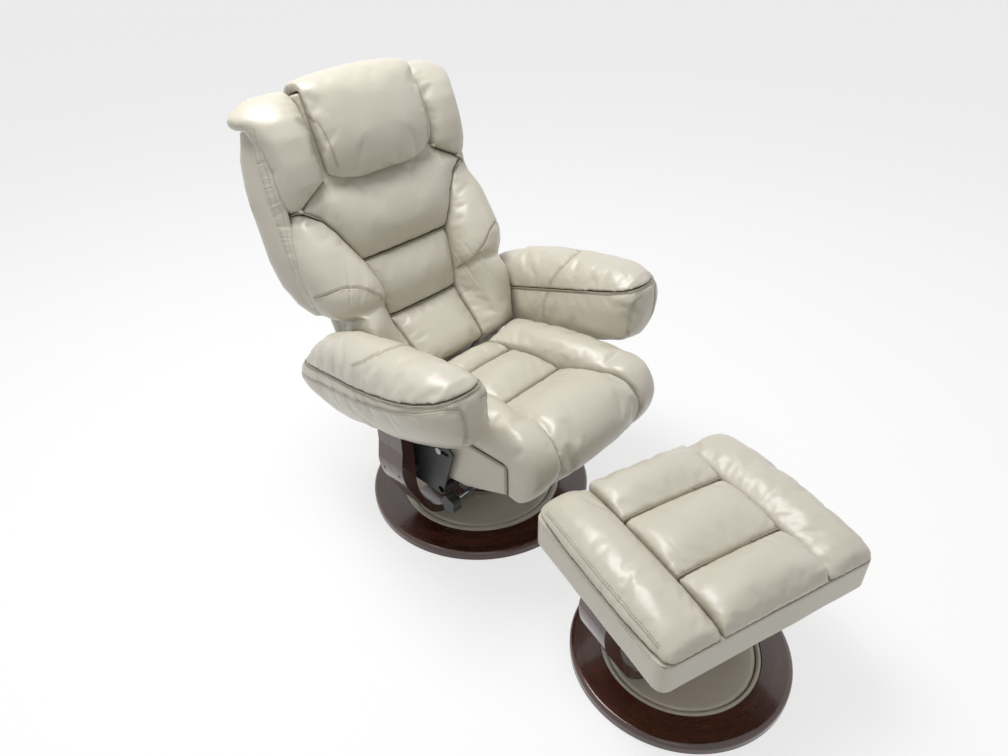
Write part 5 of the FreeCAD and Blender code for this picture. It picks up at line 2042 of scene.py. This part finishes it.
@dataclass
class Ottoman:
    """The leather pieces of the ottoman's top."""

    body: str = "ottoman"
    cap: float = 0.013
    panels: tuple[str, ...] = ("ottoman_near_panel", "ottoman_middle_panel", "ottoman_far_panel")
    bolsters: tuple[str, ...] = ("ottoman_left_bolster", "ottoman_right_bolster")
    cover: str = "ottoman_apron"
    edge: float = 258.0
    edge_height: float = 404.0
    edge_run: float = 185.0
    edge_points: int = 9

    def build(self, sewing: Sewing, filling: Filling) -> None:
        """Finds the seams and starts the pieces.

        Args:
            sewing: keeps the seams.
            filling: keeps the padded pieces.
        """
        near = self.panels + self.bolsters + (self.cover,)
        sewing.row(self.body, self.panels, near, pucker_reach=0.026)
        for side in self.bolsters:
            for panel in self.panels:
                sewing.border(self.body, side, panel, near, rows=(-0.0055,), pucker=0.0018)
            sewing.border(self.body, side, self.cover, near, rows=DOUBLE_ROW, pucker=0.0012)
        for side, edge in zip(self.bolsters, (self.edge, -self.edge)):
            places = np.linspace(-self.edge_run, self.edge_run, self.edge_points)
            sewing.traced(
                self.body,
                side,
                [on_ottoman(edge, along, self.edge_height) for along in places],
                cord=0.0010,
                sink=0.0004,
                rows=(0.0, 0.006),
                groove=0.0022,
                pucker=0.0016,
                pucker_reach=0.020,
            )
        for panel in (self.panels[0], self.panels[2]):
            sewing.border(self.body, panel, self.cover, near, rows=DOUBLE_ROW, pucker=0.0012)
        for piece in self.panels + self.bolsters:
            filling.add(Padding(piece, self.body, cap=self.cap))
        filling.add(Padding.cover(self.cover, self.body, voxel=0.003))


@dataclass
class Bases:
    """The leather inlays and rolls inside the two timber rings."""

    def build(self, sewing: Sewing, filling: Filling) -> None:
        """Starts the inlays and their rolls.

        Args:
            sewing: keeps the seams.
            filling: keeps the padded pieces.
        """
        for pad, roll, body in (
            ("base_inlay_pad", "base_piping", "base"), ("ottoman_inlay_pad", "ottoman_piping", "ottoman")
        ):
            sewing.border(
                body,
                pad,
                roll,
                (pad, roll),
                cord=0.0011,
                sink=0.0015,
                groove=0.0,
                pucker=0.0008,
                pucker_reach=0.010,
            )
            filling.add(
                Padding(
                    pad,
                    body,
                    voxel=0.004,
                    start=0.0008,
                    rounds=4,
                    cap=0.002,
                    levels=0,
                    pressure=2.0,
                    swell=False,
                )
            )
            filling.add(
                Padding(roll, body, voxel=0.003, start=0.0004, rounds=3, cap=0.002, levels=0, swell=False)
            )


@dataclass
class Straps:
    """Elastic webbing under the seat and behind the back."""

    bevel: float = 0.0004

    def build(self, finishes: Finishes) -> None:
        """Copies each webbing with rounded edges.

        Args:
            finishes: every finish.
        """
        for node, body in (("seat_webbing", "seat"), ("back_webbing", "back")):
            straps = linked(node + "_straps", welded(node))
            edge = straps.modifiers.new("edge", "BEVEL")
            edge.width = self.bevel
            edge.segments = 2
            mesh = evaluated_copy(straps, straps.name)
            straps.modifiers.clear()
            straps.data = mesh
            mesh.materials.clear()
            mesh.materials.append(finishes.webbing)
            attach(straps, body)
            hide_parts(node)
            log.info("%s built", straps.name)


@dataclass
class Hardware:
    """Carried-over nodes of timber, steel, board and plastic."""

    def dress(self, finishes: Finishes) -> None:
        """Gives each rigid node its finish.

        Args:
            finishes: every finish.
        """
        chosen = {
            "base_ring": finishes.ring,
            "ottoman_ring": finishes.small_ring,
            "bentwood_yoke": finishes.yoke,
            "ottoman_yoke": finishes.small_yoke,
            "recline_knob": finishes.plastic,
            "base_floor_glides": finishes.felt,
            "ottoman_floor_glides": finishes.felt,
        }
        by_slot = {
            "plywood": finishes.board,
            "zinc_steel": finishes.zinc,
            "dark_steel": finishes.black_steel,
            "black_plastic": finishes.plastic,
            "felt": finishes.felt,
            "webbing": finishes.webbing,
            "dark_timber": finishes.yoke,
            "leather": finishes.leather,
        }
        slots = {part["node"]: part["material_slot"] for part in frame["record"]["subparts"]}
        for name, node in frame["nodes"].items():
            material = chosen.get(name) or by_slot[slots[name]]
            node.data.materials.clear()
            node.data.materials.append(material)
        log.info("%d carried-over nodes have a finish", len(frame["nodes"]))


# ---------------------------------------------------------------- studio


@dataclass
class Studio:
    """Floor, lamps, world and camera."""

    azimuth: float = -46.392
    elevation: float = 34.523
    roll: float = -0.864
    distance: float = 2.67124
    target: Point = (0.429681, 0.311930, 0.0)
    focal: float = 27.5
    reach: float = 16.0
    daylight: float = 0.42
    seen_light: float = 1.0

    def build(self) -> None:
        """Makes everything round the object."""
        self._floor()
        self._world()
        self._lamp("ceiling_lamp", (-0.4, 0.5, 3.1), (0.0, -0.1, 0.4), 1.4, 66.0)
        self._lamp("front_lamp", (-2.4, -2.2, 2.3), (0.0, -0.2, 0.5), 1.2, 4.0)
        self._lamp("side_lamp", (2.6, -1.0, 2.2), (0.0, -0.2, 0.5), 1.4, 4.0)
        self._camera()

    def _floor(self) -> None:
        """A wide plain floor just under the glides."""
        r = self.reach
        mesh = bpy.data.meshes.new("studio_floor")
        mesh.from_pydata([(-r, -r, 0.0), (r, -r, 0.0), (r, r, 0.0), (-r, r, 0.0)], [], [(0, 1, 2, 3)])
        floor = linked("studio_floor", mesh)
        mesh.materials.append(Ground().material())

    def _world(self) -> None:
        """An even white surround that is brighter to the camera than to the object."""
        world = bpy.data.worlds.new("studio")
        world.use_nodes = True
        sky = Tree(world.node_tree)
        rays = sky.node("ShaderNodeLightPath", {}, {}).outputs
        sockets = {0: rays["Is Camera Ray"], 1: rays["Is Glossy Ray"]}
        seen = sky.node("ShaderNodeMath", {"operation": "ADD"}, sockets)
        sockets = {0: seen.outputs[0], 1: rays["Is Transmission Ray"]}
        more = sky.node("ShaderNodeMath", {"operation": "ADD", "use_clamp": True}, sockets)
        sockets = {"Value": more.outputs[0], "To Min": self.daylight, "To Max": self.seen_light}
        level = sky.node("ShaderNodeMapRange", {}, sockets)
        back = sky.tree.nodes["Background"]
        back.inputs["Color"].default_value = (1.0, 1.0, 1.0, 1.0)
        sky.tree.links.new(level.outputs[0], back.inputs["Strength"])
        bpy.context.scene.world = world

    def _lamp(self, name: str, at: Point, to: Point, size: float, power: float) -> None:
        """One soft square lamp.

        Args:
            name: the lamp's name.
            at: its place.
            to: what it faces.
            size: its side in metres.
            power: its power in watts.
        """
        data = bpy.data.lights.new(name, "AREA")
        data.shape = "SQUARE"
        data.size = size
        data.energy = power
        lamp = bpy.data.objects.new(name, data)
        bpy.context.scene.collection.objects.link(lamp)
        lamp.location = at
        lamp.rotation_mode = "QUATERNION"
        lamp.rotation_quaternion = (Vector(to) - Vector(at)).to_track_quat("-Z", "Y")

    def _camera(self) -> None:
        """The camera at the photograph's place."""
        a, e, roll = (math.radians(v) for v in (self.azimuth, self.elevation, self.roll))
        back = Vector((math.sin(a) * math.cos(e), -math.cos(a) * math.cos(e), math.sin(e)))
        right = (-back).cross(Vector((0, 0, 1))).normalized()
        up = right.cross(-back)
        across = right * math.cos(roll) + up * math.sin(roll)
        upward = up * math.cos(roll) - right * math.sin(roll)
        data = bpy.data.cameras.new("camera")
        data.sensor_width = 36.0
        data.lens = self.focal
        camera = bpy.data.objects.new("camera", data)
        bpy.context.scene.collection.objects.link(camera)
        turned = Matrix((across, upward, back)).transposed().to_4x4()
        camera.matrix_world = Matrix.Translation(Vector(self.target) + back * self.distance) @ turned
        bpy.context.scene.camera = camera
        bpy.context.scene.view_settings.view_transform = "Standard"


def main() -> None:
    """Builds the looks in order and reports each piece."""
    logging.basicConfig(level=logging.INFO, format="%(relativeCreated)d %(message)s", stream=sys.stdout)
    Studio().build()
    finishes = Finishes()
    Hardware().dress(finishes)
    sewing = Sewing()
    filling = Filling(sewing, finishes.leather)
    for part in (Seat(), Back(), Arms(), Ottoman(), Bases()):
        part.build(sewing, filling)
        log.info("%s started", type(part).__name__)
    filling.swell(20)
    filling.dress()
    Gusset().build(sewing, filling, finishes)
    Lip().build(sewing, finishes)
    Straps().build(finishes)
    Trim(sewing, filling, finishes).build()


if __name__ == "__main__":
    main()
